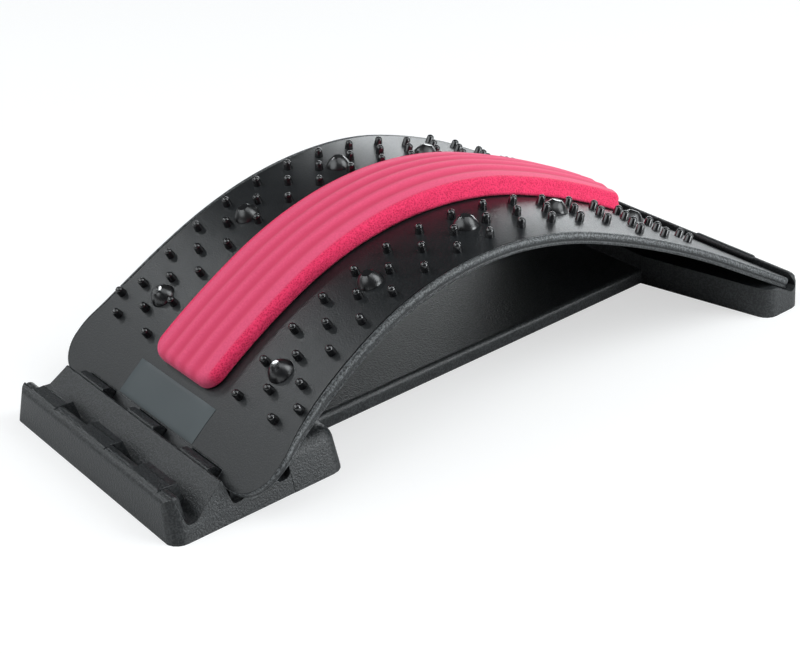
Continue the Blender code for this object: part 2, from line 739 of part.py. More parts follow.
def to_sheet(y, z):
    """A (y, z) point near the seat edge as (s, n) of the sheet."""
    away = Vector((y - FRONT - SEAT_Y, z - SEAT_Z))
    along = Vector((math.cos(SEAT_ANGLE), math.sin(SEAT_ANGLE)))
    return away.dot(along), away.dot(Vector((-along.y, along.x)))


def finger_profile():
    """A finger leaves the seat edge along the sheet and turns down into the groove, in (s, n)."""
    foot_z = GROOVE_FLOOR + FIT
    front_y = steep_y(1, foot_z) + 2 * FIT
    shoulder_z = SEAT_Z - FINGER_REACH * math.sin(SEAT_ANGLE)
    shoulder_y = steep_y(1, shoulder_z) + 2 * FIT
    return fillet([(SHEET, 0, 0), (-FINGER_REACH / 2, 0, SHEET / 2),
                   (*to_sheet(shoulder_y, shoulder_z), SHEET / 4), (*to_sheet(front_y, foot_z), 2 * FIT),
                   (*to_sheet(front_y + FINGER_THICK, foot_z), 2 * FIT),
                   (*to_sheet(shoulder_y + FINGER_THICK * 5 / 4, shoulder_z - FINGER_THICK / 2), SHEET / 2),
                   (FIT, -SHEET, 0), (SHEET, -SHEET, 0)], 3)


def foot_profile():
    """A foot stands under a front corner of the sheet, in (s, n)."""
    foot_z = GROOVE_FLOOR + FIT
    front_y = steep_y(1, foot_z) + 2 * FIT
    points = [(*to_sheet(front_y, foot_z), 2 * FIT), (*to_sheet(front_y + FINGER_THICK, foot_z), 2 * FIT)]
    for y in (front_y + FINGER_THICK, front_y):
        inside = -SHEET / 2
        s = (y - FRONT - SEAT_Y + inside * math.sin(SEAT_ANGLE)) / math.cos(SEAT_ANGLE)
        points.append((s, inside, 0))
    return fillet(points, 3)


def finger_spans():
    """Fingers fill the gaps between the teeth."""
    spans = tooth_spans()
    return [(a[1] + FINGER_SIDE, b[0] - FINGER_SIDE) for a, b in zip(spans, spans[1:])]


def foot_spans():
    start = tooth_spans()[-1][1] + 2 * FINGER_SIDE
    return [(-start - FOOT_WIDTH, -start), (start, start + FOOT_WIDTH)]


def nub_places():
    """(x, s) of every nub: four staggered columns a side, the outer one only at the ends."""
    rows = NUB_ROWS
    places = []
    for side in (-1, 1):
        for column in range(4):
            x = side * (NUB_COLUMN + column * NUB_STEP)
            shift = 0.5 * (column % 2)
            for row in range(rows):
                if column == 0 and row == rows - 1:
                    continue
                if shift and row == rows - 1:
                    continue
                if column == 3 and 0 < row < rows - 4:
                    continue
                edge = 0.0053 if column == 3 and row == 0 else 0
                places.append((x - side * edge, NUB_FIRST + (row + shift) * NUB_PITCH))
    return places


def dome_places():
    """(x, s) of the domes of one side, front to rear."""
    first = NUB_FIRST + NUB_PITCH
    return [(DOME_COLUMN, first + i * DOME_EVERY * NUB_PITCH) for i in range(DOME_COUNT)]


def build_nubs(collection):
    """All nubs as one tool: tapered pegs with blunt tips."""
    sunk = SHEET / 3
    neck = 0.72 * NUB_HEIGHT
    nubs = bmesh.new()
    for x, s in nub_places():
        place = Matrix.Translation((x, s, (neck - sunk) / 2)) @ Matrix.Rotation(math.pi / NUB_SIDES, 4, 'Z')
        peg = bmesh.ops.create_cone(nubs, cap_ends=True, segments=NUB_SIDES, radius1=NUB_RADIUS, radius2=NUB_TIP,
                                    depth=neck + sunk, matrix=place)
        rim = [vertex for vertex in peg["verts"] if vertex.co.z > neck - 1e-6]
        cap = next(face for face in rim[0].link_faces if all(vertex in rim for vertex in face.verts))
        bmesh.ops.inset_region(nubs, faces=[cap], thickness=NUB_TIP * 0.42, depth=NUB_HEIGHT - neck)
    mesh = bpy.data.meshes.new("nubs")
    nubs.to_mesh(mesh)
    nubs.free()
    return link_mesh("nubs", mesh, collection)


def build_arch(parts, tools):
    """Flat sheet with rim, fingers, rear bead, nubs and dome seats, then bent to the arch."""
    arch = outline_plate("arch_plate", sheet_outline(), -RIM_DEPTH, 0, tools)

    # The underside is thinned between the rim and two long ribs.
    hollow = outline_plate("under", hollow_outline(), -2 * RIM_DEPTH, -SHEET, tools)
    reach = (-RIM_DEPTH, ARCH_LENGTH + RIM_DEPTH)
    ribs = [box("stringer", (side * STRINGER_AT - RIB / 2, side * STRINGER_AT + RIB / 2), reach,
                (-3 * RIM_DEPTH, RIM_DEPTH), tools) for side in (-1, 1)]
    join(hollow, merge_meshes("stringers", ribs, tools), 'DIFFERENCE')
    join(arch, hollow, 'DIFFERENCE')

    # The front is as thin as the sheet, so that it fits between ridge and ramp.
    relief = box("relief", (-TAIL_HALF, TAIL_HALF), (-2 * FINGER_REACH, RIM_WIDTH * 3 / 2), (-2 * RIM_DEPTH, -SHEET),
                 tools)
    join(arch, relief, 'DIFFERENCE')

    fingers = [prism_x("finger", finger_profile(), x0, x1, tools) for x0, x1 in finger_spans()]
    fingers += [prism_x("foot", foot_profile(), x0, x1, tools) for x0, x1 in foot_spans()]
    join(arch, merge_meshes("fingers", fingers, tools), 'UNION')

    middle = RIM_DEPTH / 2
    bar = TAIL_HALF - TAIL_CORNER
    bead = cylinder("rear_bead", middle + BEAD_SWELL, (-bar, ARCH_LENGTH, -middle), (bar, ARCH_LENGTH, -middle), 16,
                    tools)
    join(arch, bead, 'UNION')

    seats = []
    for side in (-1, 1):
        for x, s in dome_places():
            seats.append(cylinder("seat", DOME_RADIUS + FIT, (side * x, s, -DOME_SEAT), (side * x, s, DOME_SEAT),
                                  20, tools))
    join(arch, merge_meshes("seats", seats, tools), 'DIFFERENCE')
    join(arch, build_nubs(tools), 'UNION')
    bend(arch, NUB_PITCH / 2)
    tools.objects.unlink(arch)
    parts.objects.link(arch)
    return arch


# Pad and tape

def pad_section():
    """Cross-section of the pad as (x, height): flat foot, drawn-in sides, crown with channels."""
    low = TAPE_THICK + 2 * FIT
    top = low + PAD_SIDE
    tuck = 0.0006
    flat = PAD_HALF - PAD_SHOULDER
    points = [(PAD_HALF - tuck, low), (PAD_HALF, low + 0.4 * PAD_SIDE), (PAD_HALF - 0.2 * PAD_SHOULDER, top - 0.45 * PAD_SHOULDER),
              (PAD_HALF - 0.5 * PAD_SHOULDER, top - 0.1 * PAD_SHOULDER)]
    steps = 6 * PAD_CHANNELS
    for k in range(steps + 1):
        x = flat * (1 - 2 * k / steps)
        crown = PAD_CROWN * (1 - (x / flat) ** 2)
        channel = PAD_CHANNEL_DEPTH * (1 - math.cos(math.tau * PAD_CHANNELS * k / steps)) / 2
        points.append((x, top + crown - channel))
    points += [(-x, z) for x, z in reversed(points[:4])]
    return points


def build_pad(parts, tools):
    pad = prism_y("foam_pad", pad_section(), PAD_START, PAD_END, tools)
    plan = fillet([(-PAD_HALF, PAD_START, PAD_CORNER), (PAD_HALF, PAD_START, PAD_CORNER),
                   (PAD_HALF, PAD_END, PAD_CORNER), (-PAD_HALF, PAD_END, PAD_CORNER)], 4)
    plan = [(x * 1.0005, PAD_START + 0.0001 + (s - PAD_START) * 0.9995) for x, s in plan]
    limit = outline_plate("pad_limit", plan, -PAD_SIDE, 3 * PAD_SIDE, tools)
    join(pad, limit, 'INTERSECT')
    bend(pad, NUB_PITCH / 2)
    tools.objects.unlink(pad)
    parts.objects.link(pad)
    return pad


def build_tape(parts, tools):
    half = PAD_HALF - TAPE_INSET
    tape = box("pad_tape", (-half, half), (PAD_START + TAPE_INSET, PAD_END - TAPE_INSET), (FIT, FIT + TAPE_THICK), tools)
    bend(tape, NUB_PITCH / 2)
    tools.objects.unlink(tape)
    parts.objects.link(tape)
    return tape


# Domes and magnets

def dome_cap(name, collection):
    """A turned cap: blunt round top, straight foot, pocket for a magnet."""
    foot = FIT - DOME_SEAT
    flat = 0.2 * DOME_RADIUS
    pocket = MAGNET_RADIUS + FIT
    roof = foot + MAGNET_THICK + 2 * FIT
    profile = [(0.0, DOME_HEIGHT), (flat, DOME_HEIGHT)]
    steps = 5
    start = math.acos(flat / DOME_RADIUS)
    for k in range(1, steps + 1):
        angle = start * (1 - k / steps)
        rise = DOME_HEIGHT * math.sin(angle) / math.sin(start)
        profile.append((DOME_RADIUS * math.cos(angle), rise))
    profile += [(DOME_RADIUS, foot), (pocket, foot), (pocket, roof), (0.0, roof)]
    mesh = bpy.data.meshes.new(name)
    work = bmesh.new()
    corners = [work.verts.new((x, 0, z)) for x, z in profile]
    for a, b in zip(corners, corners[1:]):
        work.edges.new((a, b))
    work.to_mesh(mesh)
    work.free()
    cap = link_mesh(name, mesh, collection)
    turn = cap.modifiers.new("turn", 'SCREW')
    turn.steps = 18
    turn.render_steps = 18
    turn.use_merge_vertices = True
    turn.merge_threshold = 0.00001
    return cap


def magnet_disc(name, collection):
    mesh = bpy.data.meshes.new(name)
    work = bmesh.new()
    bmesh.ops.create_cone(work, cap_ends=True, segments=16, radius1=MAGNET_RADIUS, radius2=MAGNET_RADIUS,
                          depth=MAGNET_THICK)
    work.to_mesh(mesh)
    work.free()
    return link_mesh(name, mesh, collection)


def build_domes(parts):
    domes, magnets = [], []
    for side, label in ((-1, "left"), (1, "right")):
        for i, (x, s) in enumerate(dome_places(), start=1):
            cap = dome_cap(f"dome_{label}_{i}", parts)
            cap.matrix_world = arch_matrix(side * x, s, 0)
            disc = magnet_disc(f"magnet_{label}_{i}", parts)
            disc.matrix_world = arch_matrix(side * x, s, FIT - DOME_SEAT + MAGNET_THICK / 2)
            domes.append(cap)
            magnets.append(disc)
    return domes, magnets


# Assembly

def hang_on(thing, pivot):
    """Parent a piece to the hinge without moving it; its mesh is measured from the hinge."""
    world = thing.matrix_world.copy()
    thing.parent = pivot
    thing.matrix_parent_inverse = Matrix.Identity(4)
    thing.matrix_basis = pivot.matrix_world.inverted() @ world


def move_origin(thing, point):
    """Put an object's origin on a point, its shape staying where it is."""
    thing.data.transform(Matrix.Translation(-Vector(point)))
    thing.location = point


def build_model():
    for thing in list(bpy.data.objects):
        bpy.data.objects.remove(thing)
    parts = new_collection("back_stretcher")
    tools = new_collection("cutters")

    charcoal = plastic("charcoal_abs", (0.020, 0.021, 0.023), 0.46)
    sheet_black = plastic("sheet_abs", (0.024, 0.025, 0.027), 0.42)
    gloss = plastic("gloss_black", (0.006, 0.006, 0.007), 0.12, 0.6)
    foam = plastic("pink_foam", (0.80, 0.045, 0.16), 0.85, 0.3)
    film = plastic("tape_film", (0.55, 0.53, 0.50), 0.6)
    steel = plastic("magnet_nickel", (0.50, 0.50, 0.51), 0.35)
    steel.node_tree.nodes["Principled BSDF"].inputs["Metallic"].default_value = 1.0

    base = build_base(parts, tools)
    arch = build_arch(parts, tools)
    pad = build_pad(parts, tools)
    tape = build_tape(parts, tools)
    domes, magnets = build_domes(parts)

    pivot = bpy.data.objects.new("arch_hinge", None)
    parts.objects.link(pivot)
    pivot.empty_display_size = 0.03
    pivot.location = HINGE
    bpy.context.view_layer.update()
    for thing in (arch, pad, tape):
        move_origin(thing, HINGE)
    bpy.context.view_layer.update()
    for thing in [arch, pad, tape, *domes, *magnets]:
        hang_on(thing, pivot)

    shade(base, charcoal)
    shade(arch, sheet_black)
    shade(pad, foam, 50)
    shade(tape, film)
    for cap in domes:
        shade(cap, gloss)
    for disc in magnets:
        shade(disc, steel)


build_model()
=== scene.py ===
# %% [markdown]
# # An arched back stretcher
# The object is a springy plastic sheet, arched over a low base. A pink foam strip runs
# along its spine, with rows of moulded studs and glossy domes on both sides. The packed
# model gives every place and size, and this lesson gives it the finish of the real thing.

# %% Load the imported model
import json
import math

import bmesh
import bpy
from mathutils import Matrix, Vector

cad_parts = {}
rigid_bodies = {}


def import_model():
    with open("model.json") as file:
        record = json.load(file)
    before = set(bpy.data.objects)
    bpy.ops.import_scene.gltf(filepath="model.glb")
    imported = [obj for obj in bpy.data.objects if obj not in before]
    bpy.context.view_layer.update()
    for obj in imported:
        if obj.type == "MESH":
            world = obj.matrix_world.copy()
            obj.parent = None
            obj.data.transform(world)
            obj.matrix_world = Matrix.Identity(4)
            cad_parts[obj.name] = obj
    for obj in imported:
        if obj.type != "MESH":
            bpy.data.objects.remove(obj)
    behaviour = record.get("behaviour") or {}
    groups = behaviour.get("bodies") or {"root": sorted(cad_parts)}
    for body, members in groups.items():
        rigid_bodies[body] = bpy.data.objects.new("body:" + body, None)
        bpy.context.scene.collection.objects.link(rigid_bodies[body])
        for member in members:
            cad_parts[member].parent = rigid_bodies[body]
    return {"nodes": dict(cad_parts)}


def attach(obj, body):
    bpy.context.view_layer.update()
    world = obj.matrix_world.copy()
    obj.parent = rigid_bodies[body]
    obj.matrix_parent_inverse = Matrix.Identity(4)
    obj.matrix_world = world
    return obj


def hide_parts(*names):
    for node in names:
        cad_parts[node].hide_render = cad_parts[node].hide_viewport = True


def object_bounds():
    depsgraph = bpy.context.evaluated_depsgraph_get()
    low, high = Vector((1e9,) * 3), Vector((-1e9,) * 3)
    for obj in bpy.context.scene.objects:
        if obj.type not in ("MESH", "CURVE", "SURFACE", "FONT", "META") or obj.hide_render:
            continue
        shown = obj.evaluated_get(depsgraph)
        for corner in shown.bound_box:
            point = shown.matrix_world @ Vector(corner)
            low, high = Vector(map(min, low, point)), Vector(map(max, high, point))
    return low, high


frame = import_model()
cad_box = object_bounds()

# %% [markdown]
# The side view of the sheet is three arcs that run into each other, and a straight tail.
# Every piece on the sheet is modelled flat, as x across, s along and n above the sheet,
# and is then laid on this line by one function. That keeps the modelling simple, and all
# pieces agree.

# %% The line of the arch
MM = 0.001
FRONT = cad_box[0][1]
# The seat is where the sheet rests in the middle groove: its place (y, z) and the slope there.
SEAT, SEAT_ANGLE = (FRONT + 39.3 * MM, 17.7 * MM), math.radians(41.513)
# Radius and length of each arc, from the seat to the rear.
ARCS = ((341.0 * MM, 92.2 * MM), (185.2 * MM, 145.0 * MM), (438.0 * MM, 90.4 * MM))
STRAIGHT_TAIL = 46.4 * MM
SHEET_LENGTH = sum(arc for _, arc in ARCS) + STRAIGHT_TAIL


def arch_frame(s):
    """Point (y, z) on the sheet's top at a length s from its seat, and the slope there."""
    (y, z), angle = SEAT, SEAT_ANGLE
    left = s
    for radius, arc in ARCS:
        run = min(max(left, 0.0), arc)
        turned = angle - run / radius
        y += radius * (math.sin(angle) - math.sin(turned))
        z += radius * (math.cos(turned) - math.cos(angle))
        angle = turned
        left -= run
    return y + left * math.cos(angle), z + left * math.sin(angle), angle


def on_arch(point):
    """Lay a flat point (x, s, n) on the arch."""
    x, s, n = point
    y, z, angle = arch_frame(s)
    return Vector((x, y - n * math.sin(angle), z + n * math.cos(angle)))


def lay_on_arch(piece):
    for vertex in piece.data.vertices:
        vertex.co = on_arch(vertex.co)
    piece.data.update()


print("sheet length", round(SHEET_LENGTH * 1000, 1), "mm")

# %% [markdown]
# Operators act on whatever is selected, so each piece starts by deselecting everything.
# These helpers do the small jobs that a modeller does by hand: name the new object,
# enter edit mode, apply a modifier, put the object's place into its mesh.

# %% Small modelling helpers
def deselect():
    for thing in bpy.context.view_layer.objects:
        thing.select_set(False)


def take(name):
    """Name the object that the last operator made, and make its mesh easy to find."""
    piece = bpy.context.object
    piece.name = name
    piece.data.name = name
    return piece


def activate(piece):
    deselect()
    piece.select_set(True)
    bpy.context.view_layer.objects.active = piece


def settle(piece):
    """Move the place, turn and size of an object into its mesh."""
    piece.data.transform(piece.matrix_world)
    piece.matrix_world = Matrix.Identity(4)
    return piece


def apply_modifier(piece, kind, **values):
    activate(piece)
    step = piece.modifiers.new(kind.lower(), kind)
    for key, value in values.items():
        setattr(step, key, value)
    bpy.ops.object.modifier_apply(modifier=step.name)


def smooth(piece, degrees):
    activate(piece)
    bpy.ops.object.shade_smooth_by_angle(angle=math.radians(degrees))


def soften(piece, width, segments, degrees):
    """Bevel the edges that turn by more than this angle."""
    apply_modifier(piece, 'BEVEL', width=width, segments=segments, limit_method='ANGLE',
                   angle_limit=math.radians(degrees))


def copy_of(piece, name):
    twin = piece.copy()
    twin.data = piece.data.copy()
    twin.name = name
    bpy.context.scene.collection.objects.link(twin)
    return twin


def join_pieces(pieces, name):
    deselect()
    for piece in pieces:
        piece.select_set(True)
    bpy.context.view_layer.objects.active = pieces[0]
    bpy.ops.object.join()
    return take(name)


def flat_from_outline(name, points, height=0.0):
    """One flat face with this outline, facing up."""
    deselect()
    bpy.ops.mesh.primitive_circle_add(vertices=len(points), radius=1, fill_type='NGON')
    piece = take(name)
    for vertex, (u, v) in zip(piece.data.vertices, points):
        vertex.co = (u, v, height)
    piece.data.update()
    if piece.data.polygons[0].normal.z < 0:
        bpy.ops.object.mode_set(mode='EDIT')
        bpy.ops.mesh.select_all(action='SELECT')
        bpy.ops.mesh.flip_normals()
        bpy.ops.object.mode_set(mode='OBJECT')
    return piece


def solid_from_outline(name, points, length):
    """A flat outline of (u, v) points, filled and extruded along the third axis."""
    piece = flat_from_outline(name, points)
    bpy.ops.object.mode_set(mode='EDIT')
    bpy.ops.mesh.select_all(action='SELECT')
    bpy.ops.mesh.extrude_region_move(TRANSFORM_OT_translate={"value": (0, 0, length)})
    bpy.ops.mesh.select_all(action='SELECT')
    bpy.ops.mesh.normals_make_consistent(inside=False)
    bpy.ops.object.mode_set(mode='OBJECT')
    return piece


def from_side(name, outline, x0, x1):
    """Extrude an outline that is drawn in side view, as (y, z), from x0 to x1."""
    piece = solid_from_outline(name, outline, x1 - x0)
    piece.data.transform(Matrix(((0, 0, 1, x0), (1, 0, 0, 0), (0, 1, 0, 0), (0, 0, 0, 1))))
    return piece


def cut_across(piece, start, end, count):
    """Cut a flat piece at even lengths, so that it can follow the arch."""
    activate(piece)
    bpy.ops.object.mode_set(mode='EDIT')
    for k in range(1, count):
        bpy.ops.mesh.select_all(action='SELECT')
        bpy.ops.mesh.bisect(plane_co=(0, start + (end - start) * k / count, 0), plane_no=(0, 1, 0))
    bpy.ops.object.mode_set(mode='OBJECT')


def edit_boundary(piece):
    """Enter edit mode with the open boundary of a piece selected."""
    activate(piece)
    bpy.ops.object.mode_set(mode='EDIT')
    bpy.ops.mesh.select_mode(type='EDGE')
    bpy.ops.mesh.select_all(action='DESELECT')
    bpy.ops.mesh.select_non_manifold(extend=False, use_wire=False, use_boundary=True, use_multi_face=False,
                                     use_non_contiguous=False, use_verts=False)


def edit_facing(piece, up):
    """Enter edit mode with the faces selected that look straight up (1) or down (-1)."""
    activate(piece)
    bpy.ops.object.mode_set(mode='EDIT')
    bpy.ops.mesh.select_mode(type='FACE')
    bpy.ops.mesh.select_all(action='DESELECT')
    work = bmesh.from_edit_mesh(piece.data)
    for face in work.faces:
        face.select = face.normal.z * up > 0.9
    bmesh.update_edit_mesh(piece.data)


def ease(value, low, high):
    """A smooth step from 0 to 1."""
    t = min(max((value - low) / (high - low), 0.0), 1.0)
    return t * t * (3 - 2 * t)


def rounded(corners, steps):
    """A closed outline whose corners (x, y, radius) are rounded."""
    line = []
    for i, (x, y, radius) in enumerate(corners):
        here = Vector((x, y))
        if radius == 0:
            line.append(here)
            continue
        before = (Vector(corners[i - 1][:2]) - here).normalized()
        after = (Vector(corners[(i + 1) % len(corners)][:2]) - here).normalized()
        half = before.angle(after) / 2
        middle = here + (before + after).normalized() * radius / math.sin(half)
        first = here + before * radius / math.tan(half) - middle
        last = here + after * radius / math.tan(half) - middle
        sweep = math.copysign(math.pi - 2 * half, first.cross(last))
        for k in range(steps + 1):
            line.append(middle + Matrix.Rotation(sweep * k / steps, 2) @ first)
    return line


# %% [markdown]
# ## The sheet
# The real sheet is one thin moulding with a rolled rim. Its outline is drawn from a few
# named sizes: a notch for the teeth, round front corners, a waist and a flared tail. One
# flat face has this outline, less the width of the rim, and is cut across many times so
# that it can bend. The rim is then grown from its boundary, one extrusion for each step
# of the rim's section: a fine groove, a round bead, a small ledge and a thin lower edge.

# %% Outline of the sheet
SHEET_THICK, RIM_DEPTH, RIM_WIDTH = 3.2 * MM, 5.5 * MM, 3.0 * MM
SHOULDER_HALF, CORNER_ROUND = 93.5 * MM, 19.5 * MM
WAIST_HALF, WAIST_AT = 84.4 * MM, 120.0 * MM
TAIL_HALF, TAIL_CORNER = 121.6 * MM, 6.8 * MM
NOTCH_HALF, REACH = 62.3 * MM, 6.0 * MM
NOTCH_INNER, NOTCH_OUTER = 0.6 * MM, 1.3 * MM
SHEET_END = SHEET_LENGTH + 2.8 * MM
# Shares of the way along and of the way across, from shoulder to waist and from waist to tail.
TO_WAIST = ((0.08, 0.03), (0.23, 0.40), (0.48, 0.71))
TO_TAIL = ((0.25, 0.07), (0.50, 0.33), (0.75, 0.66))
# The rim is slim and shallow at the front, where the sheet slips between the teeth.
RIM_SLIM = 0.30
GROWS_WIDE, GROWS_DEEP = (2 * MM, 70 * MM), (2 * MM, 60 * MM)
CURVE_STEPS = 12


def smooth_through(points, steps):
    """A smooth line through points, by Catmull-Rom pieces."""
    line = []
    last = len(points) - 1
    for i in range(last):
        p0, p1 = Vector(points[max(i - 1, 0)]), Vector(points[i])
        p2, p3 = Vector(points[i + 1]), Vector(points[min(i + 2, last)])
        for k in range(steps):
            t = k / steps
            line.append(0.5 * (2 * p1 + (p2 - p0) * t + (2 * p0 - 5 * p1 + 4 * p2 - p3) * t * t
                               + (3 * p1 - p0 - 3 * p2 + p3) * t ** 3))
    line.append(Vector(points[last]))
    return line


def side_line():
    """The right edge behind its round corner: shoulder, waist and flared tail."""
    start = CORNER_ROUND - REACH
    fall, way = SHOULDER_HALF - WAIST_HALF, WAIST_AT - start
    flare, tail = TAIL_HALF - WAIST_HALF, SHEET_LENGTH - WAIST_AT
    drawn = [(SHOULDER_HALF, start)]
    drawn += [(SHOULDER_HALF - across * fall, start + along * way) for along, across in TO_WAIST]
    drawn.append((WAIST_HALF, WAIST_AT))
    drawn += [(WAIST_HALF + across * flare, WAIST_AT + along * tail) for along, across in TO_TAIL]
    drawn.append((TAIL_HALF, SHEET_LENGTH))
    return smooth_through(drawn, CURVE_STEPS)


def rim_share(s):
    return RIM_SLIM + (1 - RIM_SLIM) * ease(s, *GROWS_WIDE)


def rim_deep(s):
    return SHEET_THICK + (RIM_DEPTH - SHEET_THICK) * ease(s, *GROWS_DEEP)


def inner_outline():
    """The sheet's outline, moved inwards by the width of the rim."""
    right = [(NOTCH_HALF, 0, NOTCH_INNER), (NOTCH_HALF, -REACH, NOTCH_OUTER), (SHOULDER_HALF, -REACH, CORNER_ROUND)]
    # The round corners take up the first and the last points of the side.
    right += [(point.x, point.y, 0) for point in side_line()[1:-3]]
    right.append((TAIL_HALF, SHEET_END, TAIL_CORNER))
    line = rounded(right + [(-x, s, r) for x, s, r in reversed(right)], CURVE_STEPS)
    inner = []
    for i, point in enumerate(line):
        before, after = line[i - 1], line[(i + 1) % len(line)]
        along = ((point - before).normalized() + (after - point).normalized()).normalized()
        inner.append(point - Vector((along.y, -along.x)) * RIM_WIDTH * rim_share(point.y))
    return inner


INNER = inner_outline()
print("outline points:", len(INNER), " widest half:", round(max(p.x for p in INNER) * 1000, 1), "mm")

# %% Sheet with its rim
# Each step of the rim's section: distance outwards and height, in millimetres.
RIM_STEPS = ((0.03, -0.12), (0.24, -0.50), (0.50, -0.55), (0.66, -0.10), (1.00, 0.16), (1.50, 0.24), (2.05, 0.12),
             (2.50, -0.28), (2.84, -0.92), (2.98, -1.8), (3.0, -3.0), (2.92, -3.35), (2.66, -3.5), (2.62, -4.2),
             (2.74, -4.45), (3.0, -4.6), (3.02, -5.2), (2.85, -5.5), (0.4, -5.5), (0.0, -5.4))
# Where the rim is painted lighter, as a painted highlight: on the bead, above the first
# height, on the lower edge, below the second, and a little on the ledge between.
HIGHLIGHT_OUT, BEAD_LOW, EDGE_HIGH = 0.6, -2.0, -4.4
HIGHLIGHT_BEAD, HIGHLIGHT_EDGE, HIGHLIGHT_LEDGE = 1.0, 0.55, 0.12
SHEET_CUTS = 170


# How much painted highlight one step of the rim's section gets.
def rim_highlight(out, high):
    if high is None or out <= HIGHLIGHT_OUT:
        return 0.0
    return HIGHLIGHT_BEAD if high > BEAD_LOW else HIGHLIGHT_EDGE if high < EDGE_HIGH else HIGHLIGHT_LEDGE


def outward_ways(piece):
    """Boundary points of a flat piece, each with its outward direction."""
    work = bmesh.new()
    work.from_mesh(piece.data)
    ways = {}
    for edge in work.edges:
        if edge.is_boundary:
            loop = edge.link_loops[0]
            along = (loop.link_loop_next.vert.co - loop.vert.co).normalized()
            for vertex in edge.verts:
                ways[vertex] = ways.get(vertex, Vector()) + Vector((along.y, -along.x, 0))
    found = [(vertex.co.copy(), way.normalized()) for vertex, way in ways.items()]
    work.free()
    return found


def key_of(co):
    return tuple(round(c, 7) for c in co)


def grow_rim(piece):
    """Extrude the boundary once for each step of the rim's section."""
    base = outward_ways(piece)
    edit_boundary(piece)
    places = {key_of(co): i for i, (co, _) in enumerate(base)}
    # The bead mark keeps the share of painted highlight at each point of the rim.
    bmesh.from_edit_mesh(piece.data).verts.layers.float.new("bead")
    # The last step, which has no height of its own, meets the underside of the sheet.
    for out, high in RIM_STEPS + ((0.0, None),):
        bpy.ops.mesh.extrude_edges_move(TRANSFORM_OT_translate={"value": (0, 0, 0)})
        work = bmesh.from_edit_mesh(piece.data)
        bead = work.verts.layers.float["bead"]
        fresh = {}
        for vertex in work.verts:
            if vertex.select:
                index = places[key_of(vertex.co)]
                start, way = base[index]
                height = -SHEET_THICK if high is None else high * MM * rim_deep(start.y) / RIM_DEPTH
                vertex.co = start + way * (out * MM * rim_share(start.y)) + Vector((0, 0, height))
                vertex[bead] = rim_highlight(out, high)
                fresh[key_of(vertex.co)] = index
        places = fresh
        bmesh.update_edit_mesh(piece.data)
    bpy.ops.object.mode_set(mode='OBJECT')


sheet_top = flat_from_outline("arch_sheet", INNER)
sheet_under = flat_from_outline("sheet_under", INNER, -SHEET_THICK)
for face in (sheet_top, sheet_under):
    cut_across(face, -REACH, SHEET_END, SHEET_CUTS)
grow_rim(sheet_top)
arch_sheet = join_pieces([sheet_top, sheet_under], "arch_sheet")
bpy.ops.object.mode_set(mode='EDIT')
bpy.ops.mesh.select_all(action='SELECT')
bpy.ops.mesh.remove_doubles(threshold=1e-6)
bpy.ops.mesh.normals_make_consistent(inside=False)
bpy.ops.object.mode_set(mode='OBJECT')
print("sheet faces", len(arch_sheet.data.polygons))

# %% [markdown]
# The sheet is stiffened by two long ribs below, which are plain bars. It stands on fingers that fill
# the gaps between the base's teeth, and on a foot under each front corner. The fingers and feet are
# simple profiles with softened edges.

# %% Ribs below the sheet
RIB_AT, RIB_WIDE = 31.0 * MM, 1.6 * MM
RIB_START, RIB_END = 10 * MM, SHEET_END - 5 * MM
RIB_LOW, RIB_HIGH = -RIM_DEPTH, -SHEET_THICK + 0.2 * MM
RIB_CUTS = 72


def long_rib(side):
    deselect()
    middle = (side * RIB_AT, (RIB_START + RIB_END) / 2, (RIB_LOW + RIB_HIGH) / 2)
    bpy.ops.mesh.primitive_cube_add(size=1, location=middle,
                                    scale=(RIB_WIDE, RIB_END - RIB_START, RIB_HIGH - RIB_LOW))
    rib = settle(take("rib"))
    cut_across(rib, RIB_START, RIB_END, RIB_CUTS)
    return rib


arch_sheet = join_pieces([arch_sheet, long_rib(-1), long_rib(1)], "arch_sheet")
lay_on_arch(arch_sheet)
smooth(arch_sheet, 50)

# %% Fingers and feet
TOOTH_EDGES = (12.3 * MM, 37.1 * MM, 61.7 * MM)
SIDE_GAP, FOOT_WIDE, FINGER_ROUND = 0.6 * MM, 10.5 * MM, 0.6 * MM
# Side views, in millimetres behind the front face and above the floor.
FINGER_VIEW = ((41.7, 19.8), (37.1, 15.7), (34.4, 13.7), (35.4, 8.3), (38.4, 8.3), (38.1, 12.2), (41.6, 15.5),
               (43.8, 17.4))
FOOT_VIEW = ((35.4, 8.3), (38.5, 8.3), (38.5, 14.9), (35.4, 12.2))


def finger(view, x0, x1):
    piece = from_side("finger", [(FRONT + y * MM, z * MM) for y, z in view], x0, x1)
    soften(piece, FINGER_ROUND, 3, 30)
    return piece


gap_span = (TOOTH_EDGES[0] + SIDE_GAP, TOOTH_EDGES[1] - SIDE_GAP)
foot_start = TOOTH_EDGES[2] + 2 * SIDE_GAP
stands = []
for view, (low, high) in ((FINGER_VIEW, gap_span), (FOOT_VIEW, (foot_start, foot_start + FOOT_WIDE))):
    stands += [finger(view, low, high), finger(view, -high, -low)]
sheet_fingers = join_pieces(stands, "sheet_fingers")
smooth(sheet_fingers, 40)
print("fingers and feet:", len(stands))

# %% [markdown]
# ## Studs and domes
# Each stud is a short tapered peg with a rounded tip. One is modelled from a cone, its
# top edge bevelled, and 94 copies are set in staggered columns, upright on the sheet.

# %% Studs
NUB_FIRST, NUB_PITCH = 33.2 * MM, 21.03 * MM
NUB_COLUMN, NUB_STEP = 42.4 * MM, 14.9 * MM
NUB_COLUMNS, NUB_ROWS = 4, 15
NUB_HEIGHT, NUB_SINK = 5.2 * MM, 0.6 * MM
NUB_FOOT, NUB_TIP, NUB_ROUND = 2.5 * MM, 1.95 * MM, 1.75 * MM
# The outermost column has no studs beside the waist, and its first one stands further in.
BARE_ROWS, FIRST_INWARDS = range(1, 11), 5.3 * MM


